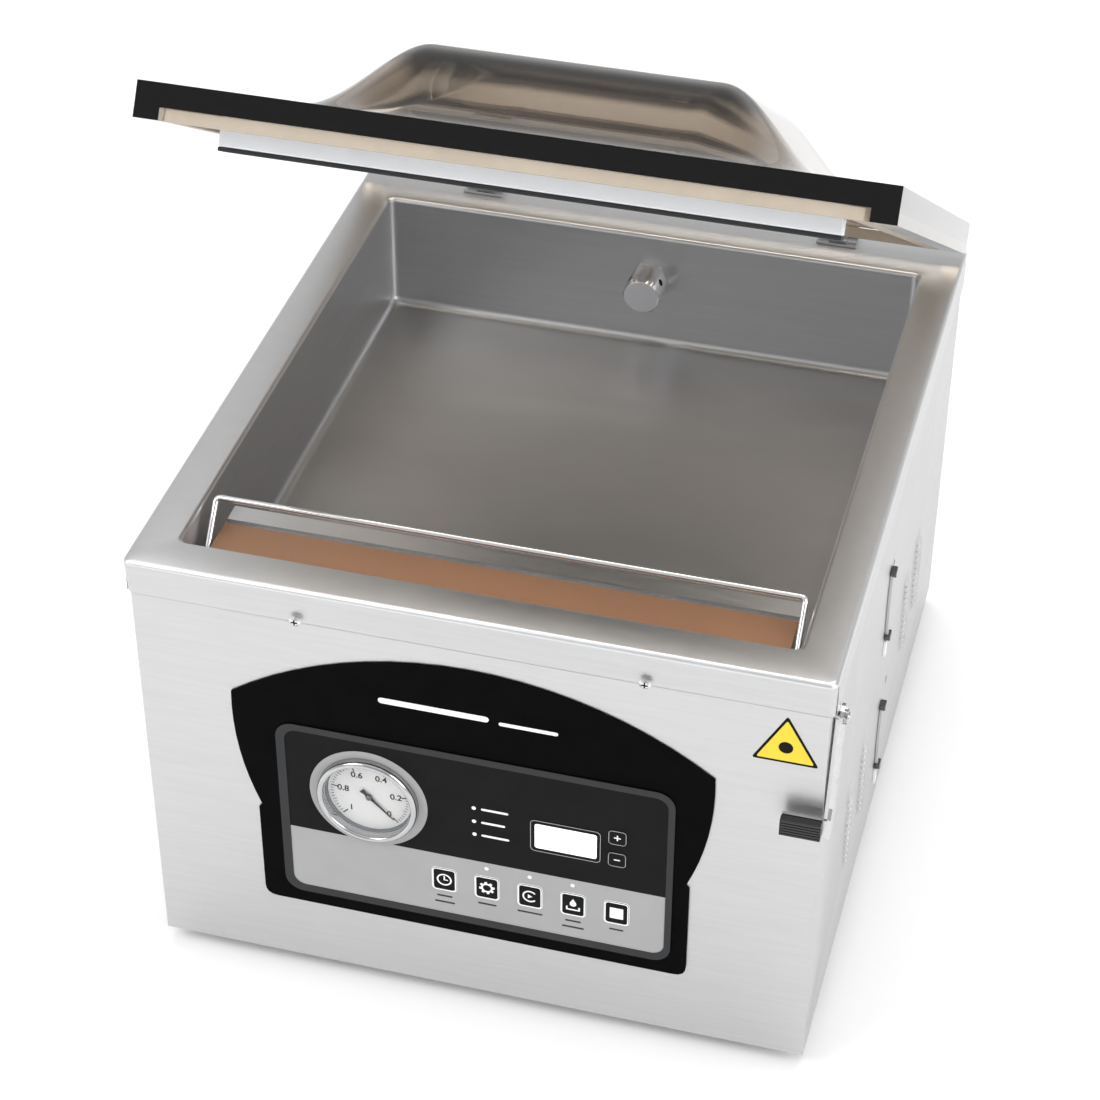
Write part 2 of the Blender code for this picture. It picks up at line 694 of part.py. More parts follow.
def counter_bar():
    """The bar under the lid that the bag's neck is pressed against, and its soft strip."""
    half = 0.1785
    holder = box("counter_bar", (-half, half), (0.053, 0.0655), (-0.0045, LID_UNDERSIDE - GAP))
    strip = box("counter_strip", (-half, half), (0.0535, 0.065), (-0.0102, -0.0045 - GAP))
    return [keep(soften(holder, 0.0008, 1), "white_plate"),
            keep(soften(strip, 0.0008, 1), "black_rubber")]


def hinge_leaf(name, x):
    """The lid's half of a hinge: a plate on the lid's rear edge and a bored knuckle."""
    leaf = box(name, (x - 0.0135, x + 0.0135), (LID_BACK + GAP, LID_BACK + 0.0026),
               (0.0028, 0.0195))
    web = box("leaf_web", (x - 0.006, x + 0.006), (LID_BACK + 0.001, HINGE_DEPTH - 0.0035),
              (0.0028, 0.0075))
    knuckle = disc("leaf_knuckle", 0.0045, 0.012, at(x - 0.006, HINGE_DEPTH, HINGE_HEIGHT),
                   AXIS_RIGHT, 20)
    bore = disc("leaf_bore", 0.00215, 0.02, at(x - 0.010, HINGE_DEPTH, HINGE_HEIGHT),
                AXIS_RIGHT, 24)
    return keep(cut(fuse(leaf, web, knuckle), bore), "steel")


def hinge_base(name, x):
    """The deck's half of a hinge: a foot plate, two knuckles and the pin through them."""
    obj = box(name, (x - 0.0135, x + 0.0135), (0.4515, 0.470), (GAP, 0.0020))
    for side in (-1, 1):
        start = x + 0.0065 if side > 0 else x - 0.0135
        fuse(obj, disc("base_knuckle", 0.0045, 0.007, at(start, HINGE_DEPTH, HINGE_HEIGHT),
                       AXIS_RIGHT, 20))
    fuse(obj, disc("hinge_pin", 0.0020, 0.026, at(x - 0.013, HINGE_DEPTH, HINGE_HEIGHT),
                   AXIS_RIGHT, 24))
    notch = box("leaf_space", (x - 0.0064, x + 0.0064), (HINGE_DEPTH - 0.0055, 0.48),
                (-0.001, 0.0021))
    return keep(cut(obj, notch), "steel")


def lid():
    """All that turns with the lid, made closed and then opened about the hinge pins."""
    pieces = lid_shell() + lid_gasket() + counter_bar()
    for name, side in (("left", -1), ("right", 1)):
        pieces.append(hinge_leaf(f"hinge_leaf_{name}", side * HINGE_SPREAD))
        hinge_base(f"hinge_base_{name}", side * HINGE_SPREAD)
    pin = bpy.data.objects.new("lid_hinge_axis", None)
    pin.location = at(0, HINGE_DEPTH, HINGE_HEIGHT)
    PARTS.objects.link(pin)
    for tool in pieces + [step.object for piece in pieces for step in piece.modifiers
                          if step.type == "BOOLEAN"]:
        tool.parent = pin
        tool.matrix_parent_inverse = Matrix.Translation(-pin.location)
    pin.rotation_euler.x = -LID_OPEN


# Lid catch lever on the right front corner

def lever():
    """A side arm on a shouldered screw, bent in across the front to carry a ribbed grip."""
    inner, thick = WIDTH / 2 + 0.0005, 0.0022
    pivot = (LEVER_PIVOT_DEPTH, LEVER_PIVOT_HEIGHT)
    boss = [(pivot[0] + 0.0075 * math.cos(t), pivot[1] + 0.0075 * math.sin(t))
            for t in (math.radians(a) for a in range(0, 181, 30))]
    arm = boss + [(0.0085, -0.052), (0.0005, -0.092), (-0.0035, -0.0975), (-0.0035, -0.1125),
                  (0.0075, -0.1125), (0.0125, -0.096), (0.0235, -0.052)]
    obj = bar("lever_arm", [arm], thick, inner + thick / 2)
    flange = box("lever_flange", (0.1870, inner + 0.001), (-0.0035, -0.0015),
                 (-0.1115, -0.0985))
    hole = disc("lever_bore", 0.0026, 0.02, at(inner - 0.01, *pivot), AXIS_RIGHT, 20)
    cut(fuse(obj, flange), hole)
    keep(obj, "steel")
    grip = box("lever_grip", (0.1865, 0.2105), (-GRIP_PROUD, -0.0035 - GAP),
               (-0.1110, -0.0990))
    keep(soften(grip, 0.0012, 2), "black_plastic")
    shoulder = inner - BODY_HALF - 2 * GAP
    screw = [(0, shoulder + 0.0088), (0.0045, shoulder + 0.0088), (0.0058, shoulder + 0.0078),
             (0.0058, shoulder + thick + 2 * GAP), (0.0025, shoulder + thick + 2 * GAP),
             (0.0025, shoulder), (0.0045, shoulder), (0.0045, 0), (0.0025, 0),
             (0.0025, -0.006), (0, -0.006)]
    keep(turned("lever_screw", screw, at(BODY_HALF + GAP, *pivot), AXIS_RIGHT, 20), "chrome")


# Fittings on the side panels

STRAPS = (("upper", 0.226, -0.118), ("lower", 0.238, -0.240))


def side_strap(name, side, depth, height):
    """A bowed strap between two clips, on the side panel."""
    face, half, proud = BODY_HALF + GAP, 0.026, SIDE_PROUD - GAP
    outer = [(face + 0.0060 + (proud - 0.0060) * math.cos(k * math.pi / 12),
              height + half * k / 6) for k in range(-6, 7)]
    inner = [(x - 0.0025, z) for x, z in reversed(outer)]
    loop = [(side * x, z) for x, z in outer + inner]
    centre = at(0, depth, 0)
    obj = plate(name, [loop], 0.007, centre, FACING_FRONT)
    for end in (-1, 1):
        low = height + end * half - 0.005
        xs = sorted((side * face, side * (face + 0.0070)))
        fuse(obj, box("strap_clip", xs, (depth - 0.0055, depth + 0.0055), (low, low + 0.010)))
    keep(obj, "grey_plastic")


def side_straps():
    for side_name, side in (("left", -1), ("right", 1)):
        for level, depth, height in STRAPS:
            side_strap(f"side_strap_{level}_{side_name}", side, depth, height)


# Inside the housing

def vacuum_pump():
    """Oil-sealed rotary pump with its inlet neck on top, in one unit with its motor."""
    low = FLOOR_TOP + GAP
    obj = box("vacuum_pump", (-0.050, 0.070), (0.270, 0.410), (low + 0.010, low + 0.130))
    soften(obj, 0.008, 2)
    foot_block = box("pump_foot", (-0.060, 0.080), (0.285, 0.395), (low, low + 0.014))
    fins = [box("pump_fin", (-0.056, 0.076), (0.290 + 0.02 * k, 0.296 + 0.02 * k),
                (low + 0.020, low + 0.120)) for k in range(5)]
    neck = disc("pump_neck", 0.014, 0.022, at(0.0005, 0.340, low + 0.120), steps=16)
    motor = disc("pump_motor", 0.052, 0.115, at(0.0670, 0.340, low + 0.062), AXIS_RIGHT, 24)
    motor_foot = box("motor_foot", (0.095, 0.165), (0.300, 0.380), (low, low + 0.025))
    shaft = disc("motor_shaft", 0.004, 0.018, at(0.181, 0.340, low + 0.062), AXIS_RIGHT, 12)
    keep(fuse(obj, foot_block, *fins, neck, motor, motor_foot, shaft), "cast_grey")


def cooling_fan():
    """The motor's fan: a bored hub with five pitched blades."""
    centre = at(0.186, 0.340, FLOOR_TOP + GAP + 0.062)
    hub = disc("cooling_fan", 0.012, 0.010, centre, AXIS_RIGHT, 20)
    mesh = bpy.data.meshes.new("fan_blades")
    blades = bmesh.new()
    for k in range(5):
        made = bmesh.ops.create_cube(blades, size=1)["verts"]
        shape = (Matrix.Rotation(2 * math.pi * k / 5, 4, "Z")
                 @ Matrix.Translation((0.026, 0, 0.005))
                 @ Matrix.Rotation(math.radians(28), 4, "X")
                 @ Matrix.Diagonal((0.034, 0.014, 0.0016, 1)))
        bmesh.ops.transform(blades, matrix=shape, verts=made)
    blades.to_mesh(mesh)
    blades.free()
    fuse(hub, add_mesh("fan_blades", mesh, centre, AXIS_RIGHT))
    cut(hub, disc("fan_bore", 0.0042, 0.03, at(0.180, 0.340, FLOOR_TOP + GAP + 0.062),
                  AXIS_RIGHT, 16))
    keep(hub, "black_plastic")


def transformer():
    """The sealing transformer: a laminated core on two feet, with its winding."""
    low = FLOOR_TOP + GAP
    core = box("transformer", (-0.175, -0.095), (0.060, 0.130), (low + 0.004, low + 0.070))
    plinth = box("transformer_feet", (-0.185, -0.085), (0.070, 0.120), (low, low + 0.006))
    winding = box("winding", (-0.160, -0.110), (0.050, 0.140), (low + 0.018, low + 0.056))
    keep(fuse(core, plinth, soften(winding, 0.006, 2)), "cast_grey")


def solenoid_valve():
    low = FLOOR_TOP + GAP
    body = box("solenoid_valve", (-0.135, -0.100), (0.330, 0.370), (low + 0.030, low + 0.060))
    coil = disc("valve_coil", 0.014, 0.040, at(-0.1175, 0.350, low + 0.055), steps=16)
    bracket = box("valve_bracket", (-0.140, -0.095), (0.335, 0.365), (low, low + 0.032))
    keep(fuse(body, coil, bracket), "aluminium")


def vacuum_hose():
    """The hose from the suction port's shank down to the pump's inlet neck."""
    start = at(0.0005, CHAMBER_BACK + 0.0225, -0.036)
    end = at(0.0005, 0.340, FLOOR_TOP + 0.1429)
    corners = [start, at(0.0005, 0.4665, -0.036), at(0.0005, 0.4665, -0.120),
               at(0.0005, 0.340, -0.120), end]
    keep(tube("vacuum_hose", rounded_path(corners, 0.016, 4), 0.0065), "black_rubber")


# Rear fittings

def power_inlet():
    """The mains inlet: a flange on the rear panel around an open socket."""
    obj = box("power_inlet", (-0.168, -0.123), (BODY_DEPTH + GAP, BODY_DEPTH + 0.003),
              (-0.2735, -0.2435))
    body = box("inlet_body", (-0.1600, -0.1310), (BODY_DEPTH - 0.024, BODY_DEPTH + 0.002),
               (-0.2700, -0.2470))
    socket = box("socket_hollow", (-0.1575, -0.1335), (BODY_DEPTH - 0.018, BODY_DEPTH + 0.02),
                 (-0.2665, -0.2505))
    keep(cut(fuse(obj, body), socket), "black_plastic")


def power_rocker():
    """The mains switch: a frame on the rear panel, and the rocker that tips in it."""
    frame = box("rocker_frame", (-0.1155, -0.0905), (BODY_DEPTH + GAP, BODY_DEPTH + 0.002),
                (-0.2740, -0.2430))
    sleeve = box("rocker_sleeve", (-0.1120, -0.0940), (BODY_DEPTH - 0.016, BODY_DEPTH + 0.001),
                 (-0.2705, -0.2465))
    hollow = box("rocker_hollow", (-0.1105, -0.0955), (BODY_DEPTH - 0.013, BODY_DEPTH + 0.02),
                 (-0.2690, -0.2480))
    keep(cut(fuse(frame, sleeve), hollow), "black_plastic")
    pivot = at(-0.103, BODY_DEPTH - 0.004, -0.2585)
    outline = [(0.0075, -0.0093), (0.0046, 0.0), (0.0068, 0.0093), (-0.001, 0.0093),
               (-0.004, 0.0), (-0.001, -0.0093)]
    rocker = plate("power_rocker", [rotated(outline, -5)], 0.0142, pivot, FACING_RIGHT)
    keep(rocker, "black_plastic")


def build():
    deck()
    chamber()
    front_panel()
    side_panel(-1, "side_panel_left")
    side_panel(1, "side_panel_right")
    rear_panel()
    base_plate()
    feet()
    control_panel()
    circuit_board()
    gauge()
    front_screws()
    seal_bar()
    seal_lift()
    bag_clip()
    suction_port()
    lid()
    lever()
    side_straps()
    vacuum_pump()
    cooling_fan()
    transformer()
    solenoid_valve()
    vacuum_hose()
    power_inlet()
    power_rocker()


build()
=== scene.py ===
"""Looks of the vacuum packing machine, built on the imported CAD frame."""

import json
import math

import bmesh
import bpy
from mathutils import Matrix, Vector


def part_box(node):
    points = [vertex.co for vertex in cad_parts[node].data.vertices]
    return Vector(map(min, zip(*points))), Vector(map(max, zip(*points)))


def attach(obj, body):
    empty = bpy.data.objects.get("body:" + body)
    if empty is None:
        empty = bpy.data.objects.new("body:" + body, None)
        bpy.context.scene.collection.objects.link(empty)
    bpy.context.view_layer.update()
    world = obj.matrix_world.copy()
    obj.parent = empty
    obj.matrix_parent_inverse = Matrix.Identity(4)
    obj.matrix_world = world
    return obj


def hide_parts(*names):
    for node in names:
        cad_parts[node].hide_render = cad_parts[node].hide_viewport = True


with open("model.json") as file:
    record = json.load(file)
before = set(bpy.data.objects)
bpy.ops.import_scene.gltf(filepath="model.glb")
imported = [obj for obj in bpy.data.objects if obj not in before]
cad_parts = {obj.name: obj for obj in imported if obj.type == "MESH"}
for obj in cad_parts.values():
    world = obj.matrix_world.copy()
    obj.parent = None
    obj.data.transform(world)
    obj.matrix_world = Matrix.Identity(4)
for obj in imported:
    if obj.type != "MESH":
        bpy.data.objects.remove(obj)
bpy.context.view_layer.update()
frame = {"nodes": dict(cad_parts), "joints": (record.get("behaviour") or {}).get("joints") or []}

# Driving places, from the frame; depths run back from the deck's front face
DECK_LOW, DECK_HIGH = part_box("top_deck")
TUB_LOW, TUB_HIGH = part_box("chamber_tub")
FRONT, RIM, HALF_WIDTH = DECK_LOW.y, DECK_HIGH.z, DECK_HIGH.x
DECK_DEPTH = DECK_HIGH.y - FRONT
SHEET = 0.0015
BODY_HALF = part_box("front_panel")[1].x
PANEL_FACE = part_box("front_panel")[0].y - FRONT
FASCIA_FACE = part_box("fascia_plate")[0].y - FRONT
MEMBRANE_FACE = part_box("keypad_membrane")[0].y - FRONT
GAUGE_LOW, GAUGE_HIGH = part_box("gauge_bezel")
GAUGE_X = (GAUGE_LOW.x + GAUGE_HIGH.x) / 2
GAUGE_HEIGHT = (GAUGE_LOW.z + GAUGE_HIGH.z) / 2 - RIM
JOINTS = {joint["name"]: joint for joint in frame["joints"]}
LID_PIN = Vector(JOINTS["lid_hinge"]["pos_m"])
LID_OPEN = math.radians(JOINTS["lid_hinge"]["range_deg"][1])
OPENING = (Matrix.Translation(LID_PIN) @ Matrix.Rotation(-LID_OPEN, 4, "X")
           @ Matrix.Translation(-LID_PIN))
FACING_FRONT = Matrix.Rotation(math.pi / 2, 4, "X")
KEYS = ("key_time", "key_preset", "key_marinate", "key_pump", "key_stop")


def at(x, depth, height):
    """A place from the middle plane, the deck's front face and the flat rim."""
    return Vector((x, FRONT + depth, RIM + height))


# Materials

def new_material(name):
    made = bpy.data.materials.new(name)
    made.use_nodes = True
    return made, made.node_tree.nodes, made.node_tree.links


def noise_value(nodes, links, scale, stretch=(1, 1, 1), detail=3.0, low=0.0, high=1.0):
    """Noise in the piece's own metres, mapped from low to high."""
    place = nodes.new("ShaderNodeTexCoord")
    mapping = nodes.new("ShaderNodeMapping")
    mapping.inputs["Scale"].default_value = stretch
    noise = nodes.new("ShaderNodeTexNoise")
    noise.inputs["Scale"].default_value = scale
    noise.inputs["Detail"].default_value = detail
    spread = nodes.new("ShaderNodeMapRange")
    spread.inputs["From Min"].default_value = 0.3
    spread.inputs["From Max"].default_value = 0.7
    spread.inputs["To Min"].default_value = low
    spread.inputs["To Max"].default_value = high
    links.new(place.outputs["Object"], mapping.inputs["Vector"])
    links.new(mapping.outputs["Vector"], noise.inputs["Vector"])
    links.new(noise.outputs["Fac"], spread.inputs["Value"])
    return spread.outputs["Result"]


def mixed_colour(nodes, links, factor, first, second):
    mix = nodes.new("ShaderNodeMix")
    mix.data_type = "RGBA"
    mix.inputs["A"].default_value = (*first, 1)
    mix.inputs["B"].default_value = (*second, 1)
    links.new(factor, mix.inputs["Factor"])
    return mix.outputs["Result"]


def surface(name, colour, roughness, metallic=0.0, vary=0.12, rough_vary=0.25, scale=60.0,
            stretch=(1, 1, 1), bump=0.0, bump_scale=900.0, **sockets):
    """A Principled material whose colour, roughness and relief vary by noise."""
    made, nodes, links = new_material(name)
    shader = nodes["Principled BSDF"]
    shader.inputs["Metallic"].default_value = metallic
    for socket, value in sockets.items():
        shader.inputs[socket.replace("_", " ")].default_value = value
    darker = tuple(c * (1 - vary) for c in colour)
    factor = noise_value(nodes, links, scale, stretch)
    links.new(mixed_colour(nodes, links, factor, darker, colour), shader.inputs["Base Color"])
    rough = noise_value(nodes, links, scale * 1.7, stretch, 4.0,
                        roughness * (1 - rough_vary), roughness * (1 + rough_vary))
    links.new(rough, shader.inputs["Roughness"])
    if bump:
        relief = nodes.new("ShaderNodeBump")
        relief.inputs["Strength"].default_value = bump
        relief.inputs["Distance"].default_value = 0.0002
        links.new(noise_value(nodes, links, bump_scale, stretch), relief.inputs["Height"])
        links.new(relief.outputs["Normal"], shader.inputs["Normal"])
    return made


SMOKE_START, SMOKE_FULL = 0.0520, 0.0625


def smoked_acrylic():
    """Polished acrylic that darkens with the way through it, and smoked on the dome's top."""
    made, nodes, links = new_material("smoked_acrylic")
    shader = nodes["Principled BSDF"]
    place, along = nodes.new("ShaderNodeTexCoord"), nodes.new("ShaderNodeVectorMath")
    along.operation = "DOT_PRODUCT"
    upward = OPENING.to_3x3() @ Vector((0, 0, 1))
    along.inputs[1].default_value = upward
    base = LID_PIN.dot(upward) + RIM - LID_PIN.z
    rise = nodes.new("ShaderNodeMapRange")
    rise.interpolation_type = "SMOOTHSTEP"
    rise.inputs["From Min"].default_value = base + SMOKE_START
    rise.inputs["From Max"].default_value = base + SMOKE_FULL
    links.new(place.outputs["Object"], along.inputs[0])
    links.new(along.outputs["Value"], rise.inputs["Value"])
    links.new(mixed_colour(nodes, links, rise.outputs["Result"], (1, 1, 1),
                           (0.040, 0.034, 0.030)), shader.inputs["Base Color"])
    shader.inputs["Transmission Weight"].default_value = 1.0
    shader.inputs["IOR"].default_value = 1.49
    rough = noise_value(nodes, links, 14.0, low=0.0, high=0.02)
    links.new(rough, shader.inputs["Roughness"])
    absorb = nodes.new("ShaderNodeVolumeAbsorption")
    absorb.inputs["Color"].default_value = (0.58, 0.50, 0.40, 1)
    absorb.inputs["Density"].default_value = 85.0
    links.new(absorb.outputs["Volume"], nodes["Material Output"].inputs["Volume"])
    return made


def clear_glass(name, tint):
    """Thin clear glass: mostly see-through, with a faint polished reflection."""
    made, nodes, links = new_material(name)
    shader = nodes["Principled BSDF"]
    shader.inputs["Base Color"].default_value = (*tint, 1)
    shader.inputs["Alpha"].default_value = 0.03
    links.new(noise_value(nodes, links, 40.0, low=0.0, high=0.04), shader.inputs["Roughness"])
    return made


def lit_display():
    made, nodes, links = new_material("lit_display")
    shader = nodes["Principled BSDF"]
    factor = noise_value(nodes, links, 120.0)
    colour = mixed_colour(nodes, links, factor, (0.93, 0.95, 0.97), (1, 1, 1))
    links.new(colour, shader.inputs["Base Color"])
    links.new(colour, shader.inputs["Emission Color"])
    shader.inputs["Emission Strength"].default_value = 0.55
    return made


FINE = dict(vary=0.05, rough_vary=0.15, scale=35.0)
MATERIALS = {
    "panel_steel": surface("panel_steel", (0.56, 0.56, 0.565), 0.40, 1.0, 0.05, 0.14, 18.0,
                           (1, 1, 26), 0.05, 60.0, Anisotropic=0.35),
    "side_steel": surface("side_steel", (0.55, 0.55, 0.555), 0.42, 1.0, 0.04, 0.12, 18.0,
                          (1, 1, 26), 0.05, 60.0, Anisotropic=0.3),
    "deck_steel": surface("deck_steel", (0.70, 0.705, 0.715), 0.38, 1.0, 0.03, 0.05, 90.0,
                          (1, 1, 1), 0.03, 500.0),
    # Painted shade: the chamber is the deck's own steel, made darker inside the recess
    "chamber_steel": surface("chamber_steel", (0.56, 0.565, 0.575), 0.40, 1.0, 0.08, 0.12,
                             7.0, (1, 2, 2), 0.03, 30.0),
    "fitting_steel": surface("fitting_steel", (0.72, 0.72, 0.73), 0.22, 1.0, **FINE),
    "chrome": surface("chrome", (0.88, 0.88, 0.90), 0.07, 1.0, **FINE),
    "aluminium": surface("aluminium", (0.78, 0.79, 0.80), 0.38, 1.0, 0.05, 0.2, 30.0,
                         (1, 60, 60), 0.05, 40.0),
    "silicone": surface("silicone", (0.44, 0.37, 0.295), 0.62, 0.0, 0.10, 0.2, 60.0,
                        bump=0.15, Sheen_Weight=0.15),
    "ptfe": surface("ptfe", (0.31, 0.155, 0.082), 0.40, 0.0, 0.10, 0.2, 14.0, (1, 1, 1),
                    0.35, 1900.0, Sheen_Weight=0.1),
    "white_bar": surface("white_bar", (0.84, 0.88, 0.92), 0.35, 0.0, **FINE),
    "black_rubber": surface("black_rubber", (0.022, 0.022, 0.022), 0.7, bump=0.3, **FINE),
    "black_plastic": surface("black_plastic", (0.016, 0.016, 0.017), 0.38, bump=0.25, **FINE),
    "fascia_black": surface("fascia_black", (0.0012, 0.0012, 0.0013), 0.55, 0.0, **FINE,
                            Specular_IOR_Level=0.03),
    "print_black": surface("print_black", (0.010, 0.010, 0.010), 0.55, 0.0, **FINE,
                           Specular_IOR_Level=0.05),
    "print_border": surface("print_border", (0.040, 0.041, 0.043), 0.55, 0.0, **FINE,
                            Specular_IOR_Level=0.08),
    "print_grey": surface("print_grey", (0.37, 0.37, 0.37), 0.55, 0.0, **FINE,
                          Specular_IOR_Level=0.15),
    "print_white": surface("print_white", (0.92, 0.92, 0.92), 0.5, 0.0, **FINE),
    "print_yellow": surface("print_yellow", (0.80, 0.62, 0.06), 0.45, 0.0, **FINE,
                            Specular_IOR_Level=0.1),
    "dial_white": surface("dial_white", (0.66, 0.66, 0.655), 0.6, 0.0, **FINE,
                          Specular_IOR_Level=0.1),
    "bezel_steel": surface("bezel_steel", (0.50, 0.50, 0.51), 0.14, 1.0, **FINE),
    "dark_clip": surface("dark_clip", (0.10, 0.10, 0.10), 0.35, 0.6, **FINE),
    "strap": surface("strap", (0.50, 0.50, 0.50), 0.45, 0.0, **FINE),
    "arm_steel": surface("arm_steel", (0.60, 0.60, 0.61), 0.26, 1.0, **FINE),
    "casting": surface("casting", (0.20, 0.22, 0.24), 0.6, 0.4, bump=0.5, **FINE),
    "board": surface("board", (0.02, 0.16, 0.07), 0.5, 0.0, **FINE),
    "acrylic": smoked_acrylic(),
    "gauge_glass": clear_glass("gauge_glass", (0.97, 0.98, 0.98)),
    "display": lit_display(),
}


# Mesh helpers

def piece(name, shape, body, finish, replaces=(), slot=None, smooth_angle=35.0, place=None):
    """Turns a bmesh, in world metres, into a piece that rides on a body."""
    if place is not None:
        bmesh.ops.transform(shape, matrix=place, verts=shape.verts)
    mesh = bpy.data.meshes.new(name)
    shape.to_mesh(mesh)
    shape.free()
    mesh.shade_smooth()
    mesh.set_sharp_from_angle(angle=math.radians(smooth_angle))
    obj = bpy.data.objects.new(name, mesh)
    bpy.context.scene.collection.objects.link(obj)
    mesh.materials.append(MATERIALS[finish])
    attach(obj, body)
    if replaces:
        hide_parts(*replaces)
    return obj


def bevelled(obj, width, segments=3, angle=40.0):
    bevel = obj.modifiers.new("rounded", "BEVEL")
    bevel.width = width
    bevel.segments = segments
    bevel.limit_method = "ANGLE"
    bevel.angle_limit = math.radians(angle)
    bevel.harden_normals = True
    return obj


def box_shape(low, high):
    shape = bmesh.new()
    low, high = Vector(low), Vector(high)
    bmesh.ops.create_cube(shape, size=1)
    bmesh.ops.transform(shape, verts=shape.verts, matrix=Matrix.Translation((low + high) / 2)
                        @ Matrix.Diagonal((*(high - low), 1)))
    return shape


def loft(rings, cap_first=False, cap_last=False, closed=False):
    """A skin over rings that all have the same number of points."""
    shape = bmesh.new()
    rows = [[shape.verts.new(point) for point in ring] for ring in rings]
    pairs = list(zip(rows, rows[1:]))
    if closed:
        pairs.append((rows[-1], rows[0]))
    for lower, upper in pairs:
        count = len(lower)
        for i in range(count):
            j = (i + 1) % count
            shape.faces.new((lower[i], lower[j], upper[j], upper[i]))
    if cap_first:
        shape.faces.new(reversed(rows[0]))
    if cap_last:
        shape.faces.new(rows[-1])
    bmesh.ops.recalc_face_normals(shape, faces=shape.faces)
    return shape


def turned_shape(profile, place, steps=64):
    """A closed profile of (radius, height) turned about Z, then placed."""
    rings = [[(r * math.cos(a), r * math.sin(a), h)
              for a in (2 * math.pi * k / steps for k in range(steps))] for r, h in profile]
    hollow = min(profile[0][0], profile[-1][0]) > 0
    shape = loft(rings, closed=hollow)
    bmesh.ops.remove_doubles(shape, verts=shape.verts, dist=0.00001)
    bmesh.ops.transform(shape, matrix=place, verts=shape.verts)
    return shape


def rounded_rectangle(x0, x1, y0, y1, radius, steps=6):
    """Points round a rectangle with rounded corners, anticlockwise."""
    centres = ((x1 - radius, y1 - radius, 0), (x0 + radius, y1 - radius, 90),
               (x0 + radius, y0 + radius, 180), (x1 - radius, y0 + radius, 270))
    points = []
    for cx, cy, start in centres:
        for k in range(steps + 1):
            a = math.radians(start + 90 * k / steps)
            points.append((cx + radius * math.cos(a), cy + radius * math.sin(a)))
    return points


def circle(x, y, radius, steps=48):
    return [(x + radius * math.cos(2 * math.pi * k / steps),
             y + radius * math.sin(2 * math.pi * k / steps)) for k in range(steps)]


def curve_shape(curve, place):
    """A curve's solid as a welded bmesh; the curve is removed."""
    obj = bpy.data.objects.new("outline", curve)
    bpy.context.scene.collection.objects.link(obj)
    bpy.context.view_layer.update()
    graph = bpy.context.evaluated_depsgraph_get()
    mesh = bpy.data.meshes.new_from_object(obj.evaluated_get(graph))
    shape = bmesh.new()
    shape.from_mesh(mesh)
    bmesh.ops.remove_doubles(shape, verts=shape.verts, dist=0.000002)
    bmesh.ops.transform(shape, matrix=place, verts=shape.verts)
    bpy.data.objects.remove(obj)
    bpy.data.meshes.remove(mesh)
    return shape


def flat_shape(loops, thickness, place):
    """Flat outlines, holes and separate islands alike, made as thick as thickness."""
    curve = bpy.data.curves.new("outline", "CURVE")
    curve.dimensions = "2D"
    curve.fill_mode = "BOTH"
    curve.extrude = thickness / 2
    for loop in loops:
        spline = curve.splines.new("POLY")
        spline.points.add(len(loop) - 1)
        for point, (u, v) in zip(spline.points, loop):
            point.co = (u, v, 0, 1)
        spline.use_cyclic_u = True
    return curve_shape(curve, place)


def printed(name, loops, face, body, finish, thickness=0.00012, **more):
    """A print on a front-facing surface; loops are in x and height."""
    place = Matrix.Translation(at(0, face - thickness / 2, 0)) @ FACING_FRONT
    return piece(name, flat_shape(loops, thickness, place), body, finish, **more)


def wire_shape(points, radius, resolution=5):
    curve = bpy.data.curves.new("wire", "CURVE")
    curve.dimensions = "3D"
    curve.bevel_depth = radius
    curve.bevel_resolution = resolution
    curve.use_fill_caps = True
    spline = curve.splines.new("POLY")
    spline.points.add(len(points) - 1)
    for point, place in zip(spline.points, points):
        point.co = (*place, 1)
    return curve_shape(curve, Matrix.Identity(4))


def rounded_path(points, radius, steps=8):
    points = [Vector(p) for p in points]
    path = [points[0]]
    for before, corner, after in zip(points, points[1:], points[2:]):
        start = corner + (before - corner).normalized() * radius
        end = corner + (after - corner).normalized() * radius
        for k in range(steps + 1):
            t = k / steps
            path.append(start * (1 - t) ** 2 + corner * 2 * t * (1 - t) + end * t ** 2)
    return path + [points[-1]]


def text_shape(text, size, place, thickness=0.00012):
    curve = bpy.data.curves.new("figure", "FONT")
    curve.body = text
    curve.size = size
    curve.align_x = "CENTER"
    curve.align_y = "CENTER"
    curve.offset = size * 0.018
    curve.extrude = thickness / 2
    return curve_shape(curve, place)


def merged(shapes):
    """Several bmeshes as one."""
    whole = bmesh.new()
    for shape in shapes:
        mesh = bpy.data.meshes.new("part")
        shape.to_mesh(mesh)
        shape.free()
        whole.from_mesh(mesh)
        bpy.data.meshes.remove(mesh)
    return whole


def smooth(t):
    t = min(max(t, 0.0), 1.0)
    return t * t * (3 - 2 * t)


# Deck and chamber: one pressed and welded skin

SKIRT_LEAN = 0.0028


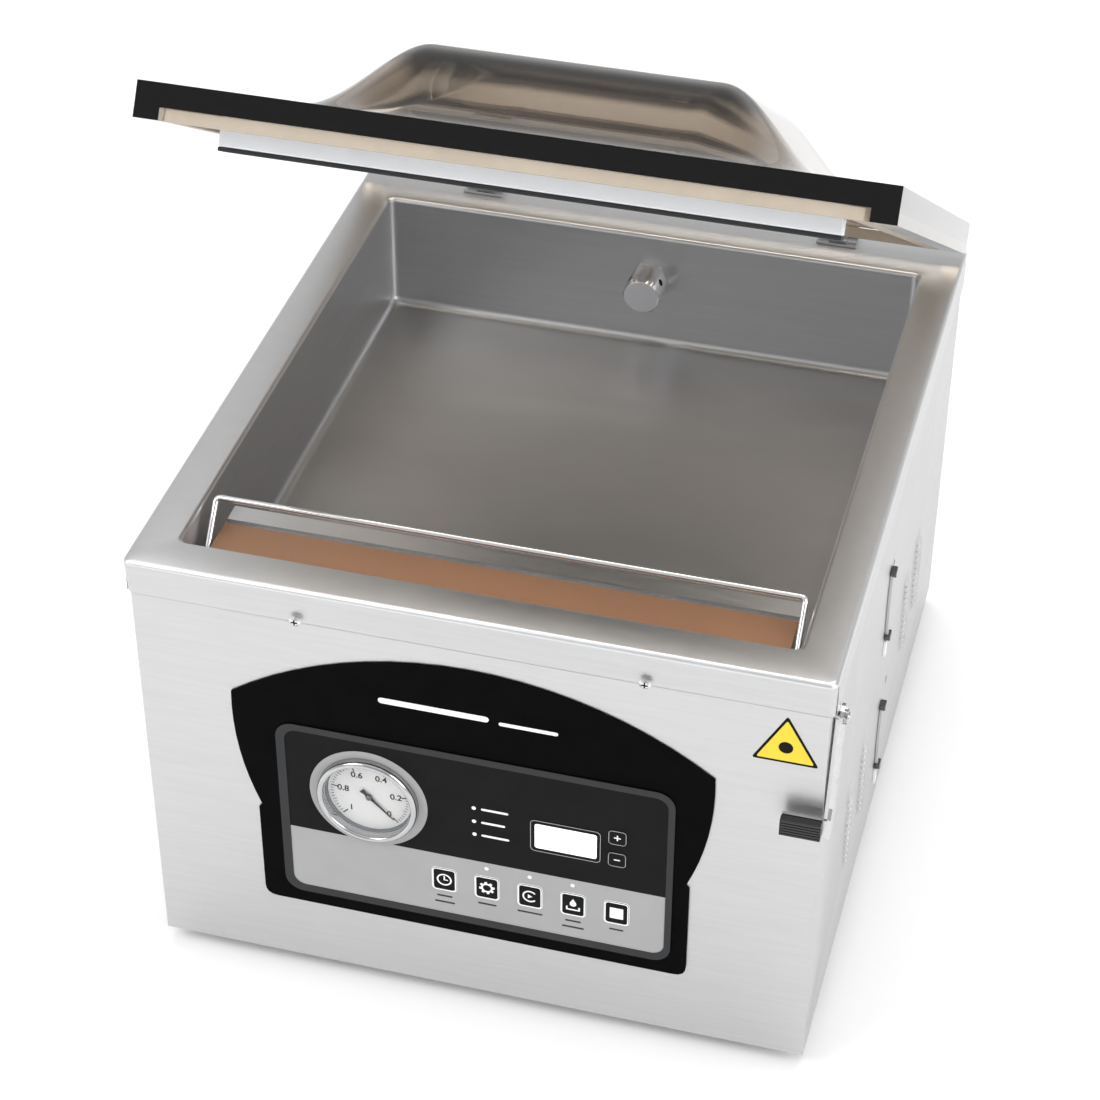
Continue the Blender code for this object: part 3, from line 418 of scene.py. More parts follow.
def deck_skin():
    """The front skirt leans back to the front panel, where the sides stand proud."""
    skirt_low = DECK_LOW.z
    x0, x1, y0, y1 = -HALF_WIDTH, HALF_WIDTH, FRONT, FRONT + DECK_DEPTH
    cx0, cx1 = TUB_LOW.x + SHEET, TUB_HIGH.x - SHEET
    cy0, cy1 = TUB_LOW.y + SHEET, TUB_HIGH.y - SHEET
    floor = TUB_LOW.z + SHEET
    corner, edge, lip, bottom = 0.005, 0.0028, 0.0028, 0.006

    def ring(rect, inset, z, radius):
        ax0, ax1, ay0, ay1 = rect
        flat = rounded_rectangle(ax0 + inset, ax1 - inset, ay0 + inset, ay1 - inset, radius)
        return [(x, y, z) for x, y in flat]

    outer, inner = (x0, x1, y0, y1), (cx0, cx1, cy0, cy1)
    rings = [[(x, y + lean * SKIRT_LEAN * (y < FRONT + corner), z)
              for x, y, z in ring(outer, 0.0, height, corner)]
             for height, lean in ((skirt_low, 1.0), (skirt_low + 0.0006, 0.98),
                                  (RIM - edge - 0.0006, 0.03))]
    for k in range(6):
        a = math.pi / 2 * k / 5
        rings.append(ring(outer, edge * (1 - math.cos(a)), RIM - edge * (1 - math.sin(a)),
                          corner))
    for k in range(6):
        a = math.pi / 2 * k / 5
        rings.append(ring(inner, -lip * (1 - math.sin(a)), RIM - lip * (1 - math.cos(a)),
                          0.0055))
    for k in range(7):
        a = math.pi / 2 * k / 6
        rings.append(ring(inner, bottom * (1 - math.cos(a)),
                          floor + bottom * (1 - math.sin(a)), 0.0055 + 0.004 * k / 6))
    shape = loft(rings, cap_last=True)
    for face in shape.faces:
        middle = face.calc_center_median()
        inside = cx0 < middle.x < cx1 and cy0 < middle.y < cy1
        if inside:
            # Chamber faces take the darker steel, which is painted shade; the rim stays deck
            # steel
            face.material_index = 1 if middle.z < RIM - 0.002 else 0
        else:
            face.material_index = 2 if middle.z < RIM - 0.003 else 0
    skin = piece("deck_skin", shape, "housing", "deck_steel", ("top_deck", "chamber_tub"),
                 "steel", 50.0)
    skin.data.materials.append(MATERIALS["chamber_steel"])
    skin.data.materials.append(MATERIALS["panel_steel"])
    solid = skin.modifiers.new("sheet", "SOLIDIFY")
    solid.thickness = 0.0012
    solid.offset = -1
    return skin


# Lid

DOME_HEIGHT, DOME_HALF_BASE, DOME_HALF_TOP = 0.0500, 0.1600, 0.0870
DOME_FRONT, DOME_BACK, DOME_SLOPE = 0.048, 0.412, 0.100
LID_FRONT, LID_BACK = 0.0053, 0.456
LID_UNDERSIDE, LID_TOP = 0.0078, 0.0213
LIP_WIDTH, LIP_BOTTOM = 0.015, 0.0005
BAR_HALF, BAR_FRONT, BAR_BACK = 0.1785, 0.053, 0.0655
BAR_HALF, BAR_FRONT, BAR_BACK = 0.1785, 0.053, 0.0655


def dome(x, depth, inset, height):
    across = (DOME_HALF_BASE - inset - abs(x)) / (DOME_HALF_BASE - DOME_HALF_TOP)
    along = min(depth - DOME_FRONT - inset, DOME_BACK - inset - depth) / DOME_SLOPE
    return height * smooth(across) * smooth(along)


def spread(low, high, count):
    return [low + (high - low) * k / count for k in range(count + 1)]


def lid_shape():
    """The formed sheet: a flange with side lips, and a dome whose wall is thinner."""
    step = HALF_WIDTH - LIP_WIDTH
    xs = ([-HALF_WIDTH, -step - 0.0001] + spread(-step, -DOME_HALF_BASE, 2)[:-1]
          + spread(-DOME_HALF_BASE, DOME_HALF_BASE, 84)
          + spread(DOME_HALF_BASE, step, 2)[1:] + [step + 0.0001, HALF_WIDTH])
    depths = ([LID_FRONT] + spread(DOME_FRONT - 0.03, DOME_BACK, 96) + [LID_BACK])
    shape = bmesh.new()

    def sheet(height_of):
        return [[shape.verts.new(at(x, d, height_of(x, d))) for d in depths] for x in xs]

    def underside(x, depth):
        if abs(x) > step:
            return LIP_BOTTOM
        inner = DOME_HEIGHT + LID_TOP - LID_UNDERSIDE - 0.009
        return LID_UNDERSIDE + dome(x, depth, 0.009, inner)

    top = sheet(lambda x, d: LID_TOP + dome(x, d, 0.0, DOME_HEIGHT))
    low = sheet(underside)
    for rows, flip in ((top, False), (low, True)):
        for a, b in zip(rows, rows[1:]):
            for k in range(len(depths) - 1):
                quad = (a[k], b[k], b[k + 1], a[k + 1])
                shape.faces.new(reversed(quad) if flip else quad)
    last = len(depths) - 1
    for i in range(len(xs) - 1):
        shape.faces.new((low[i][0], low[i + 1][0], top[i + 1][0], top[i][0]))
        shape.faces.new((top[i][last], top[i + 1][last], low[i + 1][last], low[i][last]))
    for k in range(last):
        shape.faces.new((top[0][k], top[0][k + 1], low[0][k + 1], low[0][k]))
        shape.faces.new((low[-1][k], low[-1][k + 1], top[-1][k + 1], top[-1][k]))
    bmesh.ops.recalc_face_normals(shape, faces=shape.faces)
    return shape


def lid():
    """The smoked sheet, and under it the pressure bar with its thin soft strip."""
    shell = piece("lid_smoked", lid_shape(), "lid", "acrylic", ("lid_shell",), "acrylic", 40.0,
                  OPENING)
    bevelled(shell, 0.0005, 2, 60.0)
    bar = box_shape(at(-BAR_HALF, BAR_FRONT, -0.0076), at(BAR_HALF, BAR_BACK, 0.0072))
    bevelled(piece("pressure_bar", bar, "lid", "white_bar", ("counter_bar",), "white_plate",
                   place=OPENING), 0.0012, 4)
    strip = box_shape(at(-BAR_HALF, BAR_FRONT + 0.0005, -0.0102),
                      at(BAR_HALF, BAR_BACK - 0.0005, -0.0077))
    bevelled(piece("pressure_strip", strip, "lid", "black_rubber", ("counter_strip",),
                   "black_rubber", place=OPENING), 0.0007, 3)


# Control panel prints

FIELD_SPLIT = -0.1893
BORDER_OUTER = (-0.1242, 0.1235, -0.2439, -0.1050)
BORDER_INNER = (-0.1186, 0.1194, -0.2383, -0.1097)
RING_RADIUS = 0.0375


def clipped(points, keep_above, height):
    """An outline cut by a level line: what is above it, or what is below."""
    kept = []
    count = len(points)
    for i in range(count):
        a, b = points[i], points[(i + 1) % count]
        inside = (a[1] >= height) == keep_above
        if inside:
            kept.append(a)
        if (a[1] >= height) != (b[1] >= height):
            t = (height - a[1]) / (b[1] - a[1])
            kept.append((a[0] + (b[0] - a[0]) * t, height))
    return kept


def panel_fields():
    """The panel's border, its dark and pale fields, and the ring round the gauge."""
    outline = rounded_rectangle(*BORDER_INNER, 0.0080)
    printed("panel_border", [rounded_rectangle(*BORDER_OUTER, 0.0115), outline],
            MEMBRANE_FACE - 0.0001, "housing", "print_border", 0.0004)
    gauge_hole = circle(GAUGE_X, GAUGE_HEIGHT, 0.0321, 64)
    holes = []
    for name in KEYS + ("key_plus", "key_minus", "display_window"):
        low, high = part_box(name)
        holes.append(((low.x + high.x) / 2, (low.z + high.z) / 2 - RIM,
                      (high.x - low.x) / 2 + 0.0003, (high.z - low.z) / 2 + 0.0003))

    def hole(entry):
        x, z, a, b = entry
        return rounded_rectangle(x - a, x + a, z - b, z + b, 0.0026)

    upper = clipped(outline, True, FIELD_SPLIT)
    ring = circle(GAUGE_X, GAUGE_HEIGHT, RING_RADIUS, 96)
    printed("panel_upper", [upper, gauge_hole] + [hole(h) for h in holes
                                                  if h[1] > FIELD_SPLIT],
            MEMBRANE_FACE, "housing", "print_black")
    lower = clipped(outline, False, FIELD_SPLIT)
    printed("panel_lower", [lower] + [hole(h) for h in holes if h[1] < FIELD_SPLIT],
            MEMBRANE_FACE, "housing", "print_grey")
    printed("gauge_ring_print", [ring, gauge_hole], MEMBRANE_FACE - 0.0001, "housing",
            "print_grey")


def stroke(x0, x1, z, thickness):
    """A level stroke with round ends."""
    half = thickness / 2
    return rounded_rectangle(x0, x1, z - half, z + half, half * 0.98, 3)


def plus_loop(x, z, arm, half):
    return [(x - arm, z - half), (x - half, z - half), (x - half, z - arm),
            (x + half, z - arm), (x + half, z - half), (x + arm, z - half),
            (x + arm, z + half), (x + half, z + half), (x + half, z + arm),
            (x - half, z + arm), (x - half, z + half), (x - arm, z + half)]


def panel_marks():
    """Indicator lights, and plain strokes where the captions stand."""
    face = MEMBRANE_FACE - 0.0001
    dots = [(0.0000, -0.1455), (0.0000, -0.1563), (0.0002, -0.1669)]
    dots += [(x, -0.1942) for x in (0.0074, 0.0347, 0.0617)]
    printed("indicator_lights", [circle(x, z, 0.00135, 20) for x, z in dots],
            face, "housing", "print_white")
    captions = [stroke(0.0045, 0.0045 + w, z, 0.0016)
                for w, z in ((0.017, -0.1455), (0.015, -0.1563), (0.0175, -0.1669))]
    printed("indicator_strokes", captions, face, "housing", "print_white")
    under = []
    for name, widths in zip(KEYS, ((0.010, 0.013), (0.012,), (0.016,), (0.010, 0.014),
                                   (0.009,))):
        low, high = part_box(name)
        middle = (low.x + high.x) / 2
        for row, width in enumerate(widths):
            z = low.z - RIM - 0.0052 - 0.0052 * row
            under.append(stroke(middle - width / 2, middle + width / 2, z, 0.0013))
    printed("key_strokes", under, face, "housing", "print_border")
    brand = [stroke(-0.058, 0.010, -0.0735, 0.0042), stroke(0.016, 0.052, -0.0750, 0.0026)]
    printed("fascia_strokes", brand, FASCIA_FACE, "housing", "print_white")


def key_faces():
    """White outlines and plain signs on the keys."""
    for name in KEYS + ("key_plus", "key_minus"):
        low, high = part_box(name)
        face = low.y - FRONT
        x, z = (low.x + high.x) / 2, (low.z + high.z) / 2 - RIM
        a, b = (high.x - low.x) / 2, (high.z - low.z) / 2
        small = name in ("key_plus", "key_minus")
        rim = 0.0004 if small else 0.0007
        frame_loops = [rounded_rectangle(x - a, x + a, z - b, z + b, 0.0024),
                       rounded_rectangle(x - a + rim, x + a - rim, z - b + rim, z + b - rim,
                                         0.0018)]
        sign = key_sign(name, x, z)
        finish = "print_grey" if small else "print_white"
        printed(f"{name}_outline", frame_loops, face, f"{name}_body", finish)
        if not small:
            reach = 0.0006
            printed(f"{name}_surround",
                    [rounded_rectangle(x - a - reach, x + a + reach, z - b - reach,
                                       z + b + reach, 0.0029),
                     rounded_rectangle(x - a - 0.0002, x + a + 0.0002, z - b - 0.0002,
                                       z + b + 0.0002, 0.0025)],
                    MEMBRANE_FACE - 0.0001, "housing", "print_white")
        printed(f"{name}_sign", sign, face, f"{name}_body", "print_white")
        recolour(name, "print_black")


def ring_loops(x, z, outer, inner, steps=32):
    return [circle(x, z, outer, steps), circle(x, z, inner, steps)]


def arc_band(x, z, radius, width, start, end, steps=20):
    angles = [math.radians(start + (end - start) * k / steps) for k in range(steps + 1)]
    outer = [(x + (radius + width / 2) * math.cos(a), z + (radius + width / 2) * math.sin(a))
             for a in angles]
    inner = [(x + (radius - width / 2) * math.cos(a), z + (radius - width / 2) * math.sin(a))
             for a in reversed(angles)]
    return outer + inner


def key_sign(name, x, z):
    """A plain sign for each key: clock, cog, turning arrow, drop over a tray, square."""
    if name == "key_time":
        return ring_loops(x, z, 0.0048, 0.0038) + [
            [(x - 0.0004, z - 0.0004), (x + 0.0024, z - 0.0004), (x + 0.0024, z + 0.0003),
             (x + 0.0004, z + 0.0003), (x + 0.0004, z + 0.0030), (x - 0.0004, z + 0.0030)]]
    if name == "key_preset":
        cog = []
        for k in range(8):
            for turn, radius in ((0.0, 0.0050), (0.42, 0.0050), (0.5, 0.0038), (0.92, 0.0038)):
                a = 2 * math.pi * (k + turn) / 8
                cog.append((x + radius * math.cos(a), z + radius * math.sin(a)))
        return [cog, circle(x, z, 0.0026, 28)]
    if name == "key_marinate":
        return [arc_band(x, z, 0.0042, 0.0010, 40, 320),
                [(x - 0.0012, z - 0.0016), (x + 0.0016, z), (x - 0.0012, z + 0.0016)]]
    if name == "key_pump":
        drop = [(x, z + 0.0050)] + [(x + 0.0021 * math.cos(a), z + 0.0008 + 0.0021 * math.sin(a))
                                    for a in (math.radians(30 - 24 * k) for k in range(11))]
        tray = [(x - 0.0044, z - 0.0016), (x - 0.0034, z - 0.0016), (x - 0.0034, z - 0.0036),
                (x + 0.0034, z - 0.0036), (x + 0.0034, z - 0.0016), (x + 0.0044, z - 0.0016),
                (x + 0.0044, z - 0.0046), (x - 0.0044, z - 0.0046)]
        return [drop, tray]
    if name == "key_stop":
        return [rounded_rectangle(x - 0.0042, x + 0.0042, z - 0.0044, z + 0.0044, 0.0004, 2)]
    bar = stroke(x - 0.0020, x + 0.0020, z, 0.0008)
    if name == "key_minus":
        return [bar]
    return [plus_loop(x, z, 0.0021, 0.0004)]


def display():
    low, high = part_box("display_window")
    face = low.y - FRONT
    x0, x1, z0, z1 = low.x, high.x, low.z - RIM, high.z - RIM
    recolour("display_window", "print_black")
    edge = 0.0006
    printed("display_outline",
            [rounded_rectangle(x0 + 0.0002, x1 - 0.0002, z0 + 0.0002, z1 - 0.0002, 0.003),
             rounded_rectangle(x0 + edge, x1 - edge, z0 + edge, z1 - edge, 0.0026)],
            face, "housing", "print_grey")
    printed("display_screen",
            [rounded_rectangle(x0 + 0.0030, x1 - 0.0026, z0 + 0.0030, z1 - 0.0030, 0.0016)],
            face, "housing", "display")


def recolour(node, finish):
    data = frame["nodes"][node].data
    data.materials.clear()
    data.materials.append(MATERIALS[finish])


# Gauge

SCALE_START, SCALE_SWEEP = -45.0, 270.0


def dial_point(fraction, radius):
    a = math.radians(SCALE_START + SCALE_SWEEP * fraction)
    return GAUGE_X + radius * math.cos(a), GAUGE_HEIGHT + radius * math.sin(a)


def gauge():
    """Ticks and figures on the dial, the turned bezel, and the needle's hub."""
    dial_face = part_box("gauge_dial")[0].y - FRONT
    ticks = []
    for k in range(51):
        long = k % 10 == 0
        width = 0.00075 if long else 0.00036
        inner = 0.0205 if long else (0.0222 if k % 5 == 0 else 0.0230)
        a = math.radians(SCALE_START + SCALE_SWEEP * k / 50)
        side = Vector((-math.sin(a), math.cos(a))) * width / 2
        start, end = Vector(dial_point(k / 50, inner)), Vector(dial_point(k / 50, 0.0248))
        ticks.append([tuple(start - side), tuple(end - side), tuple(end + side),
                      tuple(start + side)])
    printed("dial_ticks", ticks, dial_face, "housing", "print_black")
    figures = []
    for k, figure in enumerate(("0", "0.2", "0.4", "0.6", "0.8", "1")):
        x, height = dial_point(k / 5, 0.0170)
        place = Matrix.Translation(at(x, dial_face - 0.00006, height)) @ FACING_FRONT
        figures.append(text_shape(figure, 0.0062, place))
    piece("dial_figures", merged(figures), "housing", "print_black")
    profile = [(0.0277, 0.0004), (0.0277, 0.0046), (0.0281, 0.0060), (0.0288, 0.0067),
               (0.0299, 0.0068), (0.0309, 0.0065), (0.0316, 0.0057), (0.0320, 0.0046),
               (0.0320, 0.0004)]
    centre = at(GAUGE_X, PANEL_FACE - 0.0003, GAUGE_HEIGHT)
    bezel = turned_shape(profile, Matrix.Translation(centre) @ FACING_FRONT, 96)
    piece("gauge_ring", bezel, "housing", "bezel_steel", ("gauge_bezel",), "chrome", 60.0)
    hub = [(0.0, 0.0016), (0.0014, 0.0015), (0.0019, 0.0009), (0.0019, 0.0), (0.0, 0.0)]
    pivot = Vector(JOINTS["needle_hinge"]["pos_m"]) + Vector((0, -0.0002, 0))
    piece("needle_hub", turned_shape(hub, Matrix.Translation(pivot) @ FACING_FRONT, 32),
          "needle", "dark_clip")


# Generic mark on the front

def corner_mark():
    x, top, low, half = 0.1854, -0.0305, -0.0655, 0.0196
    corners = [(x, top), (x - half, low), (x + half, low)]

    def shrunk(amount):
        cx, cz = x, (top + 2 * low) / 3
        return [(cx + (px - cx) * amount, cz + (pz - cz) * amount) for px, pz in corners]

    face = PANEL_FACE
    printed("corner_mark_edge", [rounded_loop(shrunk(1.0), 0.0022)], face, "housing",
            "print_black")
    printed("corner_mark_field", [rounded_loop(shrunk(0.86), 0.0016)], face - 0.00012,
            "housing", "print_yellow")
    printed("corner_mark_dot", [circle(x, (top + 2 * low) / 3, 0.0042, 32)], face - 0.00024,
            "housing", "print_black")


def rounded_loop(points, radius, steps=4):
    loop = []
    count = len(points)
    for i, corner in enumerate(points):
        corner = Vector(corner)
        before, after = Vector(points[i - 1]), Vector(points[(i + 1) % count])
        start = corner + (before - corner).normalized() * radius
        end = corner + (after - corner).normalized() * radius
        for k in range(steps + 1):
            t = k / steps
            loop.append(tuple(start * (1 - t) ** 2 + corner * 2 * t * (1 - t) + end * t ** 2))
    return loop


# Sealing bar, clip and suction port

def sealing():
    """The bar's coated cover with a nub at each end, and the wire bag clip."""
    low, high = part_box("seal_cover")
    half, front, back = high.x, low.y - FRONT, high.y - FRONT
    top = high.z - RIM
    radius = 0.0022
    section = [(front, -0.040)]
    for k in range(7):
        a = math.radians(180 - 15 * k)
        section.append((front + radius + radius * math.cos(a),
                        top - radius + radius * math.sin(a)))
    middle = (front + back) / 2
    section += [(middle - 0.006, top), (middle, top + 0.0004), (middle + 0.006, top)]
    for k in range(6):
        a = math.radians(90 - 18 * k)
        section.append((back - radius + radius * math.cos(a),
                        top - radius + radius * math.sin(a)))
    inner = [(back - 0.0006, top - radius), (back - 0.0024, top - 0.0007),
             (front + 0.0024, top - 0.0007), (front + 0.0008, top - 0.0024),
             (front + 0.0008, -0.040)]
    place = Matrix.Translation(at(0, 0, 0)) @ Matrix.Rotation(math.pi / 2, 4, "Z") \
        @ Matrix.Rotation(math.pi / 2, 4, "X")
    shape = flat_shape([section + inner], 2 * half, place)
    piece("seal_cover_cloth", shape, "seal_carriage", "ptfe", ("seal_cover",), "ptfe", 30.0)
    for side in (-1, 1):
        x = side * (half - 0.007)
        nub = box_shape(at(x - 0.0015, front - 0.0006, top - 0.006),
                        at(x + 0.0015, front + 0.0014, top - 0.0025))
        bevelled(piece(f"seal_end_nub_{'left' if side < 0 else 'right'}", nub,
                       "seal_carriage", "print_white"), 0.0005, 2)
    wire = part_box("bag_clip")
    pivot = Vector(JOINTS["bag_clip_hinge"]["pos_m"])
    rod = Vector((0, wire[1].y - 0.0019, wire[1].z - 0.0019))
    reach, inner_x = wire[1].x - 0.0019, half - 0.009
    corners = [(-inner_x, pivot.y, pivot.z), (-reach, pivot.y, pivot.z),
               (-reach, rod.y, rod.z), (reach, rod.y, rod.z), (reach, pivot.y, pivot.z),
               (inner_x, pivot.y, pivot.z)]
    piece("clip_wire", wire_shape(rounded_path(corners, 0.0034), 0.0019), "clip", "chrome",
          ("bag_clip",), "chrome", 60.0)


def hexagon_ring(radius, height, chamfer, steps=48):
    """A hexagon's outline, pulled in to a circle of the chamfer's radius."""
    points = []
    flat = radius * math.cos(math.pi / 6)
    for k in range(steps):
        a = 2 * math.pi * k / steps
        local = (a % (math.pi / 3)) - math.pi / 6
        r = min(flat / math.cos(local), chamfer)
        points.append((r * math.cos(a), r * math.sin(a), height))
    return points


def suction_port():
    """The hexagonal fitting in the chamber's rear wall; black discs on its sides are painted
    shade for its holes.
    """
    low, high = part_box("suction_port")
    radius = (high.x - low.x) / 2
    face, wall = low.y - FRONT, TUB_HIGH.y - SHEET - FRONT
    centre = at((low.x + high.x) / 2, wall, (low.z + high.z) / 2 - RIM)
    length = wall - face
    flat = radius * math.cos(math.pi / 6)
    rings = [hexagon_ring(radius, 0.0, radius * 0.97), hexagon_ring(radius, 0.0008, radius),
             hexagon_ring(radius, length - 0.0022, radius),
             hexagon_ring(radius, length - 0.0002, flat * 0.985)]
    rings.append([(p[0] * 0.97, p[1] * 0.97, length) for p in rings[-1]])
    shape = loft(rings, cap_first=True, cap_last=True)
    bmesh.ops.transform(shape, matrix=Matrix.Translation(centre) @ FACING_FRONT,
                        verts=shape.verts)
    piece("port_nut", shape, "housing", "fitting_steel", ("suction_port",), "chrome", 24.0)
    # Painted shade: black discs stand for the dark insides of the side holes
    holes = []
    for turn in (30, 150, 210, 330):
        a = math.radians(turn)
        where = Matrix.Translation(centre) @ FACING_FRONT @ Matrix.Rotation(a, 4, "Z") \
            @ Matrix.Translation((flat - 0.0007, 0, length * 0.45)) \
            @ Matrix.Rotation(math.pi / 2, 4, "Y")
        holes.append(turned_shape([(0, 0.0008), (0.0024, 0.0008), (0.0024, 0), (0, 0)],
                                  where, 20))
    piece("port_side_hole_shades", merged(holes), "housing", "print_black")


# Catch lever

def lever():
    """The catch lever's ribbed grip, and the knurled screw it swings on."""
    low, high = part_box("lever_grip")
    ribs = 6
    front, back = low.y, high.y
    pitch = (high.z - low.z) / ribs
    section = [(back, low.z)]
    for k in range(ribs):
        start = low.z + pitch * k
        section += [(front + 0.0009, start + pitch * 0.04), (front, start + pitch * 0.25),
                    (front, start + pitch * 0.75), (front + 0.0009, start + pitch * 0.96)]
    section.append((back, high.z))
    place = Matrix.Translation(((low.x + high.x) / 2, 0, 0)) \
        @ Matrix.Rotation(math.pi / 2, 4, "Z") @ Matrix.Rotation(math.pi / 2, 4, "X")
    grip = piece("lever_ribbed_grip", flat_shape([section], high.x - low.x, place), "lever",
                 "black_plastic", ("lever_grip",), "black_plastic", 20.0)
    bevelled(grip, 0.0004, 2, 50.0)
    screw_low, screw_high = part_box("lever_screw")
    pivot = Vector(JOINTS["lever_hinge"]["pos_m"])
    tip = screw_high.x - 0.0030
    serrations, start = 14, tip - 0.0042

    def knurl(x, radius, depth):
        steps = serrations * 4
        return [(x, pivot.y + (radius - depth * (k % 4 > 1)) * math.cos(2 * math.pi * k / steps),
                 pivot.z + (radius - depth * (k % 4 > 1)) * math.sin(2 * math.pi * k / steps))
                for k in range(steps)]

    radius = (screw_high.y - screw_low.y) / 2 * 0.82
    rings = [knurl(screw_low.x, 0.0025, 0), knurl(pivot.x, 0.0025, 0),
             knurl(start, 0.0025, 0), knurl(start, radius - 0.0004, 0),
             knurl(start + 0.0004, radius, 0.0007), knurl(tip - 0.0014, radius, 0.0007),
             knurl(tip - 0.0012, radius - 0.0010, 0), knurl(tip - 0.0003, radius - 0.0016, 0),
             knurl(tip, radius - 0.0030, 0)]
    piece("lever_knurled_screw", loft(rings, True, True), "housing", "bezel_steel",
          ("lever_screw",), "chrome", 25.0)


# Side panels

LOUVRES = ((0.122, -0.215), (0.172, -0.215), (0.325, -0.200), (0.372, -0.200))
# Places of the keyhole slots, drawn as painted shade
KEYHOLES = ((0.238, -0.093), (0.236, -0.145), (0.256, -0.205), (0.252, -0.262))


def louvre_height(depth, height):
    """How far the panel is pressed out at a place: steep in front, sloping back."""
    out = 0.0
    for centre, middle in LOUVRES:
        u = (depth - (centre - 0.010)) / 0.022
        v = abs(height - middle) / 0.036
        if 0 < u < 1 and v < 1:
            rise = smooth(u / 0.22) * smooth((1 - u) / 0.78)
            out = max(out, 0.0036 * rise * smooth((1 - v) / 0.35))
    return out


def side_skin(side, name, node):
    """A side panel with its pressed louvres and their rows of small vents."""
    low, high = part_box(node)
    front, back = low.y - FRONT, high.y - FRONT
    bottom, top = low.z - RIM, high.z - RIM
    step_depth, ledge = DECK_DEPTH - 0.0018, -0.0283
    fine = [(c - 0.012 + 0.024 * k / 20) for c, _ in LOUVRES for k in range(21)]
    depths = sorted([front, step_depth, back] + fine)
    heights = [bottom] + spread(-0.256, -0.160, 48) + [ledge, top]
    face = side * BODY_HALF
    shape = bmesh.new()
    rows = [[shape.verts.new(at(face + side * louvre_height(d, h), d, h)) for h in heights]
            for d in depths]
    for i in range(len(depths) - 1):
        for k in range(len(heights) - 1):
            if depths[i] >= step_depth and heights[k] >= ledge:
                continue
            shape.faces.new((rows[i][k], rows[i + 1][k], rows[i + 1][k + 1], rows[i][k + 1]))
    bmesh.ops.delete(shape, geom=[v for v in shape.verts if not v.link_faces],
                     context="VERTS")
    bmesh.ops.recalc_face_normals(shape, faces=shape.faces)
    if (shape.faces[0].normal.x > 0) != (side > 0):
        bmesh.ops.reverse_faces(shape, faces=shape.faces)
    skin = piece(name, shape, "housing", "side_steel", (node,), "steel", 45.0)
    solid = skin.modifiers.new("sheet", "SOLIDIFY")
    solid.thickness = 0.0012
    solid.offset = -1
    holes = []
    for centre, middle in LOUVRES:
        for k in range(11):
            height = middle - 0.025 + 0.005 * k
            x = face + side * (louvre_height(centre - 0.0078, height) + 0.0001)
            where = Matrix.Translation(at(x, centre - 0.0078, height)) \
                @ Matrix.Rotation(side * math.radians(62), 4, "Y") \
                @ Matrix.Rotation(math.radians(-20), 4, "X")
            holes.append(turned_shape([(0, 0.0003), (0.0009, 0.0003), (0.0012, 0), (0, 0)],
                                      where, 12))
    piece(f"{name}_vents", merged(holes), "housing", "print_white")


def straps():
    """A bowed strip between two T-shaped clips, a tab below, and painted shade for small keyhole
    slots near by.
    """
    for level in ("upper", "lower"):
        for side_name, side in (("left", -1), ("right", 1)):
            node = f"side_strap_{level}_{side_name}"
            low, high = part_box(node)
            middle_y, middle_z = (low.y + high.y) / 2, (low.z + high.z) / 2
            base = side * (BODY_HALF + 0.0001)
            half = (high.z - low.z) / 2 - 0.005
            line = [(middle_y - 0.0026 * math.cos(k * math.pi / 20), middle_z + half * k / 10)
                    for k in range(-10, 11)]
            outline = [(y - 0.0016, z) for y, z in line]
            outline += [(y + 0.0016, z) for y, z in reversed(line)]
            bevelled(piece(f"strap_{level}_{side_name}",
                           side_plate([outline], base, side, 0.0022), "housing", "strap",
                           (node,), "grey_plastic", 40.0), 0.0005, 2)
            for end in (-1, 1):
                z = middle_z + end * half
                t_shape = [(middle_y - 0.0042, z + 0.0022), (middle_y - 0.0042, z - 0.0008),
                           (middle_y - 0.0014, z - 0.0008), (middle_y - 0.0014, z - 0.0034),
                           (middle_y + 0.0014, z - 0.0034), (middle_y + 0.0014, z - 0.0008),
                           (middle_y + 0.0042, z - 0.0008), (middle_y + 0.0042, z + 0.0022)]
                word = "low" if end < 0 else "high"
                bevelled(piece(f"strap_clip_{level}_{word}_{side_name}",
                               side_plate([t_shape], base, side, 0.0038), "housing",
                               "dark_clip"), 0.0006, 2)
            tab = rounded_rectangle(middle_y - 0.0022, middle_y + 0.0022,
                                    middle_z - half - 0.0170, middle_z - half - 0.0040,
                                    0.0018)
            bevelled(piece(f"strap_tab_{level}_{side_name}",
                           side_plate([tab], base, side, 0.0016), "housing",
                           "print_white"), 0.0004, 2)
    for side_name, side in (("left", -1), ("right", 1)):
        # Painted shade: thin dark films stand for the dark keyhole slots and the dots beside
        # them
        slots = []
        for depth, height in KEYHOLES:
            y, z = FRONT + depth, RIM + height
            slots.append(rounded_rectangle(y - 0.0011, y + 0.0011, z - 0.0040, z + 0.0022,
                                           0.0010, 4))
            slots.append(circle(y + 0.0024, z - 0.0020, 0.0012, 16))
        piece(f"keyhole_shades_{side_name}",
              side_plate(slots, side * (BODY_HALF + 0.00005), side, 0.0001), "housing",
              "dark_clip")


def side_plate(loops, base, side, thickness):
    """Flat outlines in (y, z), standing out from a side by their thickness."""
    place = Matrix.Translation((base + side * thickness / 2, 0, 0)) \
        @ Matrix.Rotation(math.pi / 2, 4, "Z") @ FACING_FRONT
    return flat_shape(loops, thickness, place)


# Rear fittings

def screw_recess_shades():
    """Painted shade: a black cross printed where each cross-head screw's recess is."""
    for name in ("deck_screw_left", "deck_screw_right"):
        low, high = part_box(name)
        x, z = (low.x + high.x) / 2, (low.z + high.z) / 2 - RIM
        printed(f"{name}_cross", [plus_loop(x, z, 0.0017, 0.00045)], low.y - FRONT,
                "housing", "print_black")


